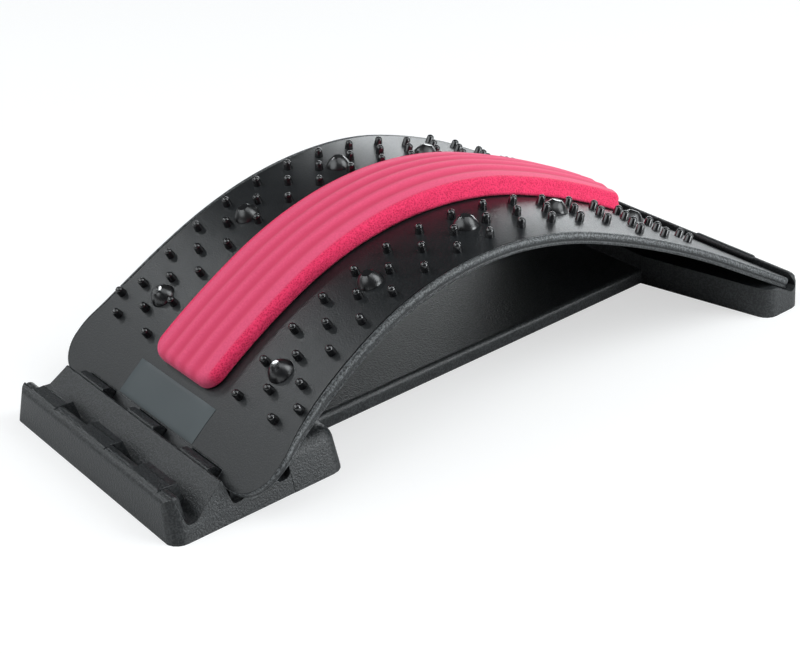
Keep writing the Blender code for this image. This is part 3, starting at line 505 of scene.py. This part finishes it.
def one_nub():
    deselect()
    bpy.ops.mesh.primitive_cone_add(vertices=14, radius1=NUB_FOOT, radius2=NUB_TIP, depth=NUB_HEIGHT + NUB_SINK,
                                    location=(0, 0, (NUB_HEIGHT - NUB_SINK) / 2))
    nub = settle(take("nub"))
    edit_facing(nub, 1)
    bpy.ops.mesh.bevel(offset=NUB_ROUND, segments=5, affect='EDGES')
    bpy.ops.object.mode_set(mode='OBJECT')
    return nub


def nub_places(side):
    """Places (x, s) of the studs on one side. Every second column is shifted by half a pitch."""
    places = []
    outermost = NUB_COLUMNS - 1
    for column in range(NUB_COLUMNS):
        shift = 0.5 * (column % 2)
        for row in range(NUB_ROWS):
            if row == NUB_ROWS - 1 and (column == 0 or shift):
                continue
            if column == outermost and row in BARE_ROWS:
                continue
            inwards = FIRST_INWARDS if column == outermost and row == 0 else 0
            x = side * (NUB_COLUMN + column * NUB_STEP - inwards)
            places.append((x, NUB_FIRST + (row + shift) * NUB_PITCH))
    return places


def stand(piece, x, s):
    """Stand a piece upright on the sheet."""
    turn = Matrix.Rotation(arch_frame(s)[2], 4, 'X')
    piece.data.transform(Matrix.Translation(on_arch((x, s, 0))) @ turn)
    return piece


nub = one_nub()
nub_sets = []
for side, label in ((-1, "left"), (1, "right")):
    row_pieces = [stand(copy_of(nub, "nub"), x, s) for x, s in nub_places(side)]
    nub_sets.append(join_pieces(row_pieces, f"nubs_{label}"))
    smooth(nub_sets[-1], 60)
bpy.data.objects.remove(nub)
print("studs:", sum(len(nub_places(side)) for side in (-1, 1)))

# %% [markdown]
# A dome is a round cap: its top is flat and very slightly crowned, with a crisp edge, and
# its side is fully round. It is half a sphere whose points are set on this section. Only
# the top is polished bright, so a point attribute marks the satin side for the material.

# %% Domes
DOME_RADIUS, DOME_COLUMN = 7.0 * MM, 53.8 * MM
DOMES_A_SIDE, DOME_EVERY = 5, 3
DOME_SINK, BRIGHT_REACH = 0.5 * MM, 3 * MM
# Radius and height on the section, in millimetres, from the middle to the foot.
DOME_SECTION = ((0, 5.74), (0.92, 5.735), (1.82, 5.715), (2.69, 5.66), (3.5, 5.05), (4.27, 4.38), (4.95, 3.66),
                (5.56, 2.92), (6.07, 2.16), (6.47, 1.40), (6.77, 0.75), (6.95, 0.25), (7.0, 0.0))


def dome_rise(reach):
    """Height of the section at this radius, a hair inside its last point at most."""
    reach = min(reach / MM, DOME_SECTION[-1][0] - 0.001)
    for (r0, z0), (r1, z1) in zip(DOME_SECTION, DOME_SECTION[1:]):
        if reach <= r1:
            return (z0 + (z1 - z0) * (reach - r0) / (r1 - r0)) * MM


def one_dome():
    deselect()
    bpy.ops.mesh.primitive_uv_sphere_add(segments=40, ring_count=24, radius=DOME_RADIUS)
    dome = take("dome")
    bpy.ops.object.mode_set(mode='EDIT')
    bpy.ops.mesh.select_all(action='SELECT')
    bpy.ops.mesh.bisect(plane_co=(0, 0, -DOME_SINK), plane_no=(0, 0, 1), use_fill=True, clear_inner=True)
    bpy.ops.object.mode_set(mode='OBJECT')
    satin = dome.data.attributes.new("satin", 'FLOAT', 'POINT')
    for vertex in dome.data.vertices:
        reach = math.hypot(vertex.co.x, vertex.co.y)
        if vertex.co.z > 0:
            vertex.co.z = dome_rise(reach)
        satin.data[vertex.index].value = 1.0 if reach > BRIGHT_REACH else 0.0
    return dome


dome = one_dome()
dome_caps = []
for side, label in ((-1, "left"), (1, "right")):
    for i in range(DOMES_A_SIDE):
        s = NUB_FIRST + NUB_PITCH * (1 + DOME_EVERY * i)
        cap = stand(copy_of(dome, f"dome_cap_{label}_{i + 1}"), side * DOME_COLUMN, s)
        smooth(cap, 26)
        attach(cap, "arch")
        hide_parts(f"dome_{label}_{i + 1}")
        dome_caps.append(cap)
bpy.data.objects.remove(dome)
print("domes:", len(dome_caps))

# %% [markdown]
# ## The foam pad
# The pad is soft foam, cut from a sheet, with a smooth pink skin on top and open cells on
# its cut sides. Foam keeps its shape, so it isn't blown up like a cushion. It is drawn as
# a grid of points across and along: a crown, four shallow channels, rounded shoulders and
# rounded ends. Point attributes say where its cut sides, its channels and its glued foot
# are, for the material.

# %% Foam pad
PAD_HALF, PAD_CORNER = 26.5 * MM, 9.5 * MM
PAD_START, PAD_END = 26.8 * MM, SHEET_LENGTH - 44.6 * MM
PAD_LOW, PAD_SIDE, PAD_CROWN = 0.4 * MM, 8.6 * MM, 3.0 * MM
SIDE_SHOULDER, END_SHOULDER = 3.0 * MM, 5.0 * MM
CHANNEL_PITCH, CHANNEL_DEPTH = 9.2 * MM, 1.1 * MM
CHANNELS_STOP = (1.8 * CHANNEL_PITCH, 2.1 * CHANNEL_PITCH)
# The channels get shallower over this length at each end, down to this share of their depth.
CHANNEL_RUN_OUT, CHANNEL_END = (1 * MM, 9 * MM), 0.35
# The foam is a little thinner towards its front end.
THIN_FRONT, THICKENS = 0.75, (60 * MM, 190 * MM)


def pad_half(s):
    """Half-width of the pad in plan, with rounded corners."""
    into = max(PAD_START + PAD_CORNER - s, s - (PAD_END - PAD_CORNER), 0)
    return PAD_HALF - PAD_CORNER + math.sqrt(max(0.0, PAD_CORNER ** 2 - into ** 2))


def pad_outwards(co):
    """Outward direction of the nearest edge, seen from above."""
    cx = math.copysign(max(0.0, abs(co.x) - (PAD_HALF - PAD_CORNER)), co.x)
    low, high = PAD_START + PAD_CORNER, PAD_END - PAD_CORNER
    cy = co.y - low if co.y < low else (co.y - high if co.y > high else 0.0)
    if abs(cx) < 1e-9 and abs(cy) < 1e-9:
        return Vector((math.copysign(1, co.x), 0, 0))
    return Vector((cx, cy, 0)).normalized()


def channel_share(x):
    """0 on a ridge and 1 in a channel. The middle is a ridge, and the outer shoulders are plain."""
    wave = 0.5 * (1 - math.cos(math.tau * x / CHANNEL_PITCH))
    return wave * (1 - ease(abs(x), *CHANNELS_STOP))


def shoulder_drop(distance, shoulder):
    if distance >= shoulder:
        return 0.0
    return shoulder - math.sqrt(max(0.0, shoulder ** 2 - (shoulder - distance) ** 2))


def inside_edge(x, s):
    """How far a point of the plan lies inside the pad's edge."""
    corner = Vector((abs(x) - (PAD_HALF - PAD_CORNER), max(PAD_START - s, s - PAD_END) + PAD_CORNER))
    if corner.x > 0 and corner.y > 0:
        return max(PAD_CORNER - corner.length, 0)
    return max(min(pad_half(s) - abs(x), s - PAD_START, PAD_END - s), 0)


def pad_height(co, inside):
    """Top of the pad at a point that lies this far inside its edge."""
    crown = PAD_SIDE + PAD_CROWN * (1 - (co.x / PAD_HALF) ** 2)
    full = THIN_FRONT + (1 - THIN_FRONT) * ease(co.y, *THICKENS)
    near_end = ease(min(co.y - PAD_START, PAD_END - co.y), *CHANNEL_RUN_OUT)
    channel = CHANNEL_DEPTH * channel_share(co.x) * (CHANNEL_END + (1 - CHANNEL_END) * near_end)
    shoulder = SIDE_SHOULDER + (END_SHOULDER - SIDE_SHOULDER) * pad_outwards(co).y ** 2
    return PAD_LOW + crown * full - channel - shoulder_drop(inside, shoulder)


# %% Top of the pad
POINTS_ACROSS, POINTS_ALONG = 72, 150
CROWD_ACROSS, CROWD_ALONG = 1.3, 1.4


def crowded(value, power):
    """Move an even place from -1 to 1 towards its end, so that points crowd where the shoulder turns."""
    return math.copysign(1 - (1 - abs(value)) ** power, value)


def pad_top():
    deselect()
    bpy.ops.mesh.primitive_grid_add(x_subdivisions=POINTS_ACROSS, y_subdivisions=POINTS_ALONG, size=2)
    pad = take("spine_pad")
    for vertex in pad.data.vertices:
        s = PAD_START + (crowded(vertex.co.y, CROWD_ALONG) + 1) / 2 * (PAD_END - PAD_START)
        x = crowded(vertex.co.x, CROWD_ACROSS) * pad_half(s)
        vertex.co = (x, s, 0)
        vertex.co.z = pad_height(vertex.co, inside_edge(x, s))
    return pad


spine_pad = pad_top()

# %% Sides and foot of the pad
# Each ring of the side: share of the way down, and how far it bulges, in millimetres.
PAD_RINGS = ((0.2, 0.10), (0.45, 0.26), (0.7, 0.24), (0.88, 0.05), (0.97, -0.25), (1.0, -0.7))
# Towards the rear the foot spreads a little under the foam's own pull.
FOOT_SPREAD, SPREAD_CURVE, SPREADS = 3.0 * MM, 0.8, (110 * MM, 250 * MM)


def grow_sides(pad):
    """Extrude the edge down to the foot, ring by ring, and close the foot."""
    edit_boundary(pad)
    work = bmesh.from_edit_mesh(pad.data)
    starts = {key_of(vertex.co): (vertex.co.copy(), pad_outwards(vertex.co))
              for vertex in work.verts if vertex.select}
    for share, out in PAD_RINGS:
        bpy.ops.mesh.extrude_edges_move(TRANSFORM_OT_translate={"value": (0, 0, 0)})
        work = bmesh.from_edit_mesh(pad.data)
        now = {}
        for vertex in work.verts:
            if vertex.select:
                start, way = starts[key_of(vertex.co)]
                spread = FOOT_SPREAD * share ** SPREAD_CURVE * ease(start.y, *SPREADS) * abs(way.x)
                vertex.co = start + way * (out * MM + spread)
                vertex.co.z = start.z + (PAD_LOW - start.z) * share
                now[key_of(vertex.co)] = (start, way)
        starts = now
        bmesh.update_edit_mesh(pad.data)
    bpy.ops.mesh.edge_face_add()
    bpy.ops.mesh.select_all(action='SELECT')
    bpy.ops.mesh.normals_make_consistent(inside=False)
    bpy.ops.object.mode_set(mode='OBJECT')


grow_sides(spine_pad)
print("pad points", len(spine_pad.data.vertices))

# %% Marks on the pad
SKIN_UNTIL, CUT_FROM = PAD_HALF - 4.6 * MM, PAD_HALF - 3.0 * MM
REAR_SKIN, REAR_TURN = PAD_END - 3 * MM, (-1.5 * MM, 1 * MM)
FRONT_TURN = (0.25, 0.85)
CHANNELS_ABOVE = (PAD_LOW + 0.4 * PAD_SIDE, PAD_LOW + 0.7 * PAD_SIDE)
DARK_FOOT_SPAN = (0.3 * MM, 1.1 * MM)


def mark(piece, name, rule):
    """Keep a value from 0 to 1 at every point, for the material to read."""
    values = piece.data.attributes.new(name, 'FLOAT', 'POINT')
    values.data.foreach_set("value", [rule(vertex.co) for vertex in piece.data.vertices])


def side_cut(co):
    """The skin rolls over the front end, so only the sides and the rear end are cut."""
    front = ease(-pad_outwards(co).y, *FRONT_TURN) if co.y < PAD_START + PAD_CORNER else 0.0
    return ease(abs(co.x), SKIN_UNTIL, CUT_FROM) * (1 - front)


def rear_cut(co):
    return 0.0 if abs(co.x) > SKIN_UNTIL else 1 - ease(REAR_SKIN - co.y, *REAR_TURN)


mark(spine_pad, "cut_side", lambda co: side_cut(co) + rear_cut(co))
# The channel mark also sets where the channels get their painted shade.
mark(spine_pad, "channel", lambda co: channel_share(co.x) * ease(co.z, *CHANNELS_ABOVE))
# The foot mark sets a thin line along the pad's foot that is painted dark.
mark(spine_pad, "foot", lambda co: 1 - ease(co.z - PAD_LOW, *DARK_FOOT_SPAN))

# %% Lay the pad on the sheet
# Its flat foot is one large face, so the foot is cut into strips before it is bent.
PAD_STRIPS = 60
for k in range(1, PAD_STRIPS):
    edit_facing(spine_pad, -1)
    cut_at = PAD_START + (PAD_END - PAD_START) * k / PAD_STRIPS
    bpy.ops.mesh.bisect(plane_co=(0, cut_at, 0), plane_no=(0, 1, 0))
    bpy.ops.object.mode_set(mode='OBJECT')
lay_on_arch(spine_pad)
smooth(spine_pad, 60)
print("pad faces", len(spine_pad.data.polygons))

# %% [markdown]
# A thin bare plate sits near the front of the sheet. It is smooth and a little paler than
# the sheet, and its edges are softened.

# %% Bare plate
PLATE_HALF = 34.5 * MM
PLATE_START, PLATE_END = 1.2 * MM, 21.6 * MM
PLATE_THICK, PLATE_MIDDLE, PLATE_ROUND = 0.25 * MM, 0.08 * MM, 0.08 * MM


def bare_plate():
    deselect()
    bpy.ops.mesh.primitive_grid_add(x_subdivisions=10, y_subdivisions=8, size=2)
    plate = take("front_plate")
    for vertex in plate.data.vertices:
        s = PLATE_START + (vertex.co.y + 1) / 2 * (PLATE_END - PLATE_START)
        vertex.co = (vertex.co.x * PLATE_HALF, s, PLATE_MIDDLE)
    apply_modifier(plate, 'SOLIDIFY', thickness=PLATE_THICK, offset=0)
    soften(plate, PLATE_ROUND, 2, 40)
    lay_on_arch(plate)
    smooth(plate, 40)
    return plate


front_plate = bare_plate()
print("plate faces", len(front_plate.data.polygons))

# %% [markdown]
# ## The base
# The base is one hollow moulding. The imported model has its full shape, with its large
# roundings but with crisp small edges. A real moulding has no crisp edges, and it is these
# soft edges that catch the light. So a copy of the model's mesh is merged, its flat faces
# are joined again, and each edge that is still sharp and long enough gets a small bevel.
# The front lip ends in a full round roll, which is laid over the model's thinner wall.

# %% Roll of the lip
LIP_HALF, LIP_ROUND, LIP_STEPS = 71.6 * MM, 1.6 * MM, 7
# Corners of the roll's side view, with their radii: millimetres behind the front face and
# above the floor.
LIP_VIEW = ((2.9, 12, 0), (5.7, 21.6, 2), (10.3, 21.6, 3.2), (12.7, 6, 0), (8.7, 4, 0))


def thick_lip():
    corners = [(FRONT + y * MM, z * MM, radius * MM) for y, z, radius in LIP_VIEW]
    lip = from_side("thick_lip", rounded(corners, LIP_STEPS), -LIP_HALF, LIP_HALF)
    soften(lip, LIP_ROUND, 3, 50)
    return lip


# %% Softened base
EDGE_SOFT, FLOOR_RIM = 0.45 * MM, 2 * MM
SHARP, FLAT, SAME_PLACE = math.radians(34), math.radians(0.6), 2e-6


def plain_copy(node, name):
    """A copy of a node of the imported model, free of its parent and of its own notes."""
    twin = copy_of(node, name)
    twin.parent = None
    for key in list(twin.keys()):
        del twin[key]
    twin.matrix_world = Matrix.Identity(4)
    twin.hide_render = twin.hide_viewport = False
    return twin


def select_crisp(piece):
    """Select the sharp edges with room for a bevel, but not the rim that stands on the floor."""
    bpy.ops.mesh.select_mode(type='EDGE')
    bpy.ops.mesh.select_all(action='DESELECT')
    work = bmesh.from_edit_mesh(piece.data)
    for edge in work.edges:
        crisp = len(edge.link_faces) == 2 and edge.calc_face_angle(0) > SHARP
        high = max(vertex.co.z for vertex in edge.verts) > FLOOR_RIM
        edge.select = crisp and high and edge.calc_length() > 2 * EDGE_SOFT
    print("edges softened:", sum(edge.select for edge in work.edges))
    bmesh.update_edit_mesh(piece.data)


def softened_base():
    base = plain_copy(frame["nodes"]["base_frame"], "base_shell")
    activate(base)
    bpy.ops.mesh.customdata_custom_splitnormals_clear()
    bpy.ops.object.mode_set(mode='EDIT')
    bpy.ops.mesh.select_all(action='SELECT')
    bpy.ops.mesh.mark_sharp(clear=True)
    bpy.ops.mesh.remove_doubles(threshold=SAME_PLACE)
    bpy.ops.mesh.dissolve_limited(angle_limit=FLAT)
    select_crisp(base)
    bpy.ops.mesh.bevel(offset=EDGE_SOFT, segments=2, affect='EDGES', clamp_overlap=False)
    bpy.ops.object.mode_set(mode='OBJECT')
    base = join_pieces([base, thick_lip()], "base_shell")
    smooth(base, 42)
    apply_modifier(base, 'WEIGHTED_NORMAL', keep_sharp=True, weight=80)
    return base


base_shell = softened_base()
print("base faces", len(base_shell.data.polygons))

# %% [markdown]
# ## Materials
# A few helpers keep the materials short. A socket is fed with the output of another node,
# a number or a colour, and each helper hands on the output of the node that it adds.

# %% Node helpers
def new_material(name):
    material = bpy.data.materials.new(name)
    material.use_nodes = True
    return material, material.node_tree


def feed(tree, socket, value):
    if isinstance(value, bpy.types.NodeSocket):
        tree.links.new(value, socket)
    else:
        socket.default_value = (*value, 1) if isinstance(value, tuple) else value


def set_look(tree, looks):
    """Feed sockets of the surface shader by name."""
    for name, value in looks.items():
        feed(tree, tree.nodes["Principled BSDF"].inputs[name], value)


def ramp(tree, source, low, high, out_low=0.0, out_high=1.0):
    """Map a mask from one range to another."""
    node = tree.nodes.new('ShaderNodeMapRange')
    feed(tree, node.inputs["Value"], source)
    for name, value in (("From Min", low), ("From Max", high), ("To Min", out_low), ("To Max", out_high)):
        feed(tree, node.inputs[name], value)
    return node.outputs["Result"]


def blend(tree, mask, first, second):
    """Mix two colours by a mask."""
    node = tree.nodes.new('ShaderNodeMix')
    node.data_type = 'RGBA'
    for name, value in (("Factor", mask), ("A", first), ("B", second)):
        feed(tree, node.inputs[name], value)
    return node.outputs["Result"]


def reckon(tree, operation, *values, clamp=False):
    """One step of arithmetic."""
    node = tree.nodes.new('ShaderNodeMath')
    node.operation = operation
    node.use_clamp = clamp
    for socket, value in zip(node.inputs, values):
        feed(tree, socket, value)
    return node.outputs["Value"]


def marked(tree, name):
    """The value that a piece keeps at each point, or 0 where it keeps none."""
    node = tree.nodes.new('ShaderNodeAttribute')
    node.attribute_name = name
    return node.outputs["Fac"]


def bumped(tree, height, distance):
    node = tree.nodes.new('ShaderNodeBump')
    feed(tree, node.inputs["Height"], height)
    feed(tree, node.inputs["Distance"], distance)
    return node.outputs["Normal"]


# %% [markdown]
# The plastics share one moulded grain. It is a node group, built once: a fine texture as
# the mould leaves it, and a slow change of gloss over the surface.

# %% Moulded grain
# The middle of a noise, and a wider part that holds nearly all its values.
MIDDLE, MOST = (0.35, 0.65), (0.3, 0.7)
PATCH_SCALE, PATCH_DETAIL = 30.0, 3.0
GRAIN_DETAIL, GRAIN_ROUGHNESS = 2.5, 0.6


def moulded_grain():
    """Outputs a height for bumps, and a slow mask from 0 to 1."""
    group = bpy.data.node_groups.new("moulded_grain", 'ShaderNodeTree')
    group.interface.new_socket(name="Grain Scale", in_out='INPUT', socket_type='NodeSocketFloat')
    for label in ("Height", "Patches"):
        group.interface.new_socket(name=label, in_out='OUTPUT', socket_type='NodeSocketFloat')
    given, result = group.nodes.new('NodeGroupInput'), group.nodes.new('NodeGroupOutput')
    place = group.nodes.new('ShaderNodeTexCoord')
    grain, patch = (group.nodes.new('ShaderNodeTexNoise') for _ in range(2))
    for noise, scale, detail, label in ((grain, given.outputs["Grain Scale"], GRAIN_DETAIL, "Height"),
                                        (patch, PATCH_SCALE, PATCH_DETAIL, "Patches")):
        feed(group, noise.inputs["Vector"], place.outputs["Object"])
        feed(group, noise.inputs["Scale"], scale)
        feed(group, noise.inputs["Detail"], detail)
        feed(group, result.inputs[label], noise.outputs["Fac"])
    grain.inputs["Roughness"].default_value = GRAIN_ROUGHNESS
    return group


GRAIN = moulded_grain()


def add_grain(tree, scale=1800):
    """The grain's height, and its slow patches, which this scale leaves as they are."""
    node = tree.nodes.new('ShaderNodeGroup')
    node.node_tree = GRAIN
    node.inputs["Grain Scale"].default_value = scale
    return node.outputs["Height"], node.outputs["Patches"]


# %% Textured and satin plastic
# One lighter tone serves both the wear on the grain's tops and the painted highlight on the sheet's rim.
WEAR_AND_HIGHLIGHT_TONE, LIGHTER_TOPS, LIGHTER_LEAST = (0.11, 0.118, 0.122), (0.46, 0.58), 0.12


def moulded_plastic(name, tones, roughness, grain_scale, depth, specular=0.5, wear=0.0):
    """Two tones in slow patches, with a grain whose tops are lighter from wear, and with a painted highlight where
    the bead mark is set.
    """
    material, tree = new_material(name)
    height, patches = add_grain(tree, grain_scale)
    # The lightening is strongest where the bead mark is set: there it is a painted highlight on the rim's bead, and
    # elsewhere it is wear on the grain's tops.
    share = reckon(tree, 'ADD', marked(tree, "bead"), wear)
    wear_and_highlight = reckon(tree, 'MULTIPLY', share, ramp(tree, height, *LIGHTER_TOPS, LIGHTER_LEAST, 1), clamp=True)
    set_look(tree, {
        "Base Color": blend(tree, wear_and_highlight, blend(tree, ramp(tree, patches, *MIDDLE), *tones), WEAR_AND_HIGHLIGHT_TONE),
        "Roughness": ramp(tree, height, *MIDDLE, *roughness),
        "Normal": bumped(tree, height, depth),
        "Specular IOR Level": specular})
    return material


base_plastic = moulded_plastic("charcoal_textured", ((0.005, 0.006, 0.007), (0.008, 0.009, 0.010)), (0.34, 0.46),
                               1000, 0.29 * MM, wear=0.28)
sheet_plastic = moulded_plastic("charcoal_satin", ((0.004, 0.005, 0.006), (0.006, 0.0072, 0.0085)), (0.36, 0.44),
                                1000, 0.14 * MM, wear=0.06)
plate_plastic = moulded_plastic("plate_smooth", ((0.060, 0.076, 0.082), (0.066, 0.082, 0.088)), (0.42, 0.48),
                                3000, 0.006 * MM, specular=0.4)

# %% Polished black
BRIGHT_ROUGHNESS, SATIN_ROUGHER = (0.09, 0.15), 0.17


def polished_black():
    material, tree = new_material("polished_black")
    _, patches = add_grain(tree)
    bright = ramp(tree, patches, *MOST, *BRIGHT_ROUGHNESS)
    set_look(tree, {
        "Base Color": blend(tree, patches, (0.005, 0.005, 0.006), (0.009, 0.009, 0.010)),
        "Roughness": reckon(tree, 'MULTIPLY_ADD', marked(tree, "satin"), SATIN_ROUGHER, bright),
        "Specular IOR Level": 0.9})
    return material


gloss = polished_black()

# %% [markdown]
# The foam has two faces. Its top is a fine skin, almost matt, with a deeper colour along
# the channels, which is painted shade. Its cut sides are deeper in colour and full of open
# cells, which show as light and dark specks, and a thin line at its foot is painted dark.

# %% Foam
SKIN_SCALE, SKIN_TONES = 900, ((0.82, 0.092, 0.200), (0.88, 0.108, 0.226))
CELL_SCALE, CUT_TONES = 1000, ((0.66, 0.014, 0.072), (0.94, 0.046, 0.152))
CELL_SPAN = (0.1, 0.6)
CHANNEL_SHADE_TONE, FOOT_LINE_TONE = (0.72, 0.058, 0.140), (0.10, 0.003, 0.015)
FOAM_RELIEF, SKIN_SHARE = 0.4 * MM, 0.25


def foam_material():
    material, tree = new_material("pink_foam")
    place = tree.nodes.new('ShaderNodeTexCoord')
    cells, fine = tree.nodes.new('ShaderNodeTexVoronoi'), tree.nodes.new('ShaderNodeTexNoise')
    for texture, scale in ((cells, CELL_SCALE), (fine, SKIN_SCALE)):
        feed(tree, texture.inputs["Vector"], place.outputs["Object"])
        feed(tree, texture.inputs["Scale"], scale)
    fine.inputs["Detail"].default_value = 3
    pores, grain, cut_side = cells.outputs["Distance"], fine.outputs["Fac"], marked(tree, "cut_side")
    skin = blend(tree, ramp(tree, grain, *MIDDLE), *SKIN_TONES)
    # The channels are painted darker: a painted shade in these shallow grooves.
    skin = blend(tree, marked(tree, "channel"), skin, CHANNEL_SHADE_TONE)
    side = blend(tree, ramp(tree, pores, *CELL_SPAN), *CUT_TONES)
    relief = reckon(tree, 'MULTIPLY_ADD', grain, SKIN_SHARE, reckon(tree, 'MULTIPLY', pores, cut_side))
    # A thin line at the foot is painted dark.
    set_look(tree, {
        "Base Color": blend(tree, marked(tree, "foot"), blend(tree, cut_side, skin, side), FOOT_LINE_TONE),
        "Normal": bumped(tree, relief, FOAM_RELIEF),
        "Roughness": 0.8,
        "Specular IOR Level": 0.2,
        "Sheen Weight": 0.1})
    return material


foam = foam_material()


# %% Give every piece its material
def paint(piece, material):
    piece.data.materials.clear()
    piece.data.materials.append(material)


for material, pieces in ((sheet_plastic, (arch_sheet, sheet_fingers)), (base_plastic, (base_shell,)),
                         (plate_plastic, (front_plate,)), (foam, (spine_pad,)), (gloss, (*nub_sets, *dome_caps))):
    for piece in pieces:
        paint(piece, material)
    print(material.name, len(pieces))

# %% [markdown]
# The magnets and the adhesive strip are hidden inside. They still get a plain finish of
# their own, so that they look right if the model is taken apart.

# %% Hidden pieces
METAL_ROUGHNESS = (0.22, 0.40)


def plated_metal():
    material, tree = new_material("plated_magnet")
    height, _ = add_grain(tree)
    set_look(tree, {
        "Base Color": (0.5, 0.5, 0.51),
        "Roughness": ramp(tree, height, *MOST, *METAL_ROUGHNESS),
        "Metallic": 1.0})
    return material


magnet_metal = plated_metal()
tape_film = moulded_plastic("tape_film", ((0.50, 0.48, 0.45), (0.58, 0.56, 0.52)), (0.5, 0.6), 1200, 0.02 * MM,
                            specular=0.4)
for name, node in frame["nodes"].items():
    if name.startswith("magnet"):
        paint(node, magnet_metal)
    elif name == "pad_tape":
        paint(node, tape_film)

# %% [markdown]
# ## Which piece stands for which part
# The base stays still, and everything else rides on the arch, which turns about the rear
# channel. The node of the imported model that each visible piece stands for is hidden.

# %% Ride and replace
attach(base_shell, "base")
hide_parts("base_frame")
for piece in (arch_sheet, sheet_fingers, front_plate, *nub_sets):
    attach(piece, "arch")
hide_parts("arch_plate")
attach(spine_pad, "arch")
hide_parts("foam_pad")

# %% [markdown]
# ## Camera, floor and light
# The camera stands where the photograph was taken from: to the right and in front, about
# 29 degrees up, with a slight roll. The light is a bright studio with large soft boxes.

# %% Camera
CAMERA_AT = Vector((631.7, -472.4, 446.1)) * MM
AZIMUTH, ELEVATION, ROLL = (math.radians(a) for a in (53.0, 28.92, 3.5))
FOCAL_LENGTH, SENSOR_WIDTH, NEAREST = 73.94, 36, 0.01
forward = Vector((-math.sin(AZIMUTH) * math.cos(ELEVATION), math.cos(AZIMUTH) * math.cos(ELEVATION),
                  -math.sin(ELEVATION)))
level_right = Vector((math.cos(AZIMUTH), math.sin(AZIMUTH), 0))
level_down = forward.cross(level_right)
right = math.cos(ROLL) * level_right + math.sin(ROLL) * level_down
down = -math.sin(ROLL) * level_right + math.cos(ROLL) * level_down
lens = bpy.data.cameras.new("camera")
lens.sensor_fit = 'HORIZONTAL'
lens.sensor_width = SENSOR_WIDTH
lens.lens = FOCAL_LENGTH
lens.clip_start = NEAREST
camera = bpy.data.objects.new("camera", lens)
camera.matrix_world = Matrix((
    (right.x, -down.x, -forward.x, CAMERA_AT.x),
    (right.y, -down.y, -forward.y, CAMERA_AT.y),
    (right.z, -down.z, -forward.z, CAMERA_AT.z),
    (0, 0, 0, 1)))
bpy.context.scene.collection.objects.link(camera)
bpy.context.scene.camera = camera
print("camera", FOCAL_LENGTH, "mm,", round(CAMERA_AT.length, 3), "m away")

# %% Floor
FLOOR_SIZE, FLOOR_TONE = 12, (0.86, 0.86, 0.86)
SEEN_TONE, SEEN_GLOW = (0.50, 0.50, 0.50), 0.58


def pale_floor():
    """The camera sees a floor that is partly lit from within, so that it is white and its shadows are soft."""
    material, tree = new_material("pale_floor")
    set_look(tree, {"Base Color": FLOOR_TONE, "Roughness": 0.9, "Specular IOR Level": 0.0})
    pale, glow = tree.nodes.new('ShaderNodeBsdfDiffuse'), tree.nodes.new('ShaderNodeEmission')
    both, seen = tree.nodes.new('ShaderNodeAddShader'), tree.nodes.new('ShaderNodeMixShader')
    feed(tree, pale.inputs["Color"], SEEN_TONE)
    feed(tree, glow.inputs["Strength"], SEEN_GLOW)
    feed(tree, both.inputs[0], pale.outputs["BSDF"])
    feed(tree, both.inputs[1], glow.outputs["Emission"])
    feed(tree, seen.inputs["Fac"], tree.nodes.new('ShaderNodeLightPath').outputs["Is Camera Ray"])
    feed(tree, seen.inputs[1], tree.nodes["Principled BSDF"].outputs["BSDF"])
    feed(tree, seen.inputs[2], both.outputs["Shader"])
    feed(tree, tree.nodes["Material Output"].inputs["Surface"], seen.outputs["Shader"])
    return material


deselect()
bpy.ops.mesh.primitive_plane_add(size=FLOOR_SIZE, location=(0, 0, 0))
floor = take("floor")
paint(floor, pale_floor())
print("floor", FLOOR_SIZE, "m")

# %% World
# The camera sees a white surround. It gives the object only a faint even light.
SKY_TONE, SKY_SEEN, SKY_LIGHT = (0.96, 0.985, 1), 0.90, 0.08
world = bpy.data.worlds.new("studio")
bpy.context.scene.world = world
world.use_nodes = True
sky = world.node_tree
path = sky.nodes.new('ShaderNodeLightPath')
feed(sky, sky.nodes["Background"].inputs["Color"], SKY_TONE)
feed(sky, sky.nodes["Background"].inputs["Strength"],
     reckon(sky, 'MULTIPLY_ADD', path.outputs["Is Camera Ray"], SKY_SEEN, SKY_LIGHT))
print("surround", SKY_LIGHT, "as light")

# %% Lamps
# Direction from the object, distance, width and height in metres, and brightness.
SOFT_BOXES = {
    "spark": ((-0.763, -0.21, 0.628), 1.6, (0.20, 0.20), 26),
    "left_front": ((-0.84, -0.42, 0.36), 1.6, (0.8, 0.8), 1.1),
    "front": ((-0.20, -0.72, 0.67), 1.5, (1.8, 1.4), 2.05),
    "overhead": ((0.25, 0.15, 0.95), 1.3, (1.1, 1.1), 1.45),
    "right_rear": ((0.52, 0.55, 0.62), 1.5, (1.1, 0.9), 3.9),
    "side": ((0.85, 0.50, 0.15), 1.4, (0.9, 0.45), 9.0),
    "backdrop": ((-0.60, 0.80, 0.09), 1.9, (2.2, 0.36), 6.4)}
AIM = Vector((0, -0.05, 0.05))
LAMP_TONE = (0.94, 0.98, 1.0)


def soft_box(name, way, distance, size, brightness):
    """An oval lamp in a direction from the object, as bright as a surface of this radiance."""
    light = bpy.data.lights.new(name, 'AREA')
    light.shape = 'ELLIPSE'
    light.color = LAMP_TONE
    light.size, light.size_y = size
    light.energy = math.pi * (math.pi / 4 * size[0] * size[1]) * brightness
    box = bpy.data.objects.new(name, light)
    box.location = AIM + Vector(way).normalized() * distance
    box.rotation_euler = (AIM - box.location).to_track_quat('-Z', 'Y').to_euler()
    bpy.context.scene.collection.objects.link(box)
    print(name, round(light.energy, 1), "W")


for name, values in SOFT_BOXES.items():
    soft_box(name, *values)

bpy.context.scene.view_settings.view_transform = 'Standard'
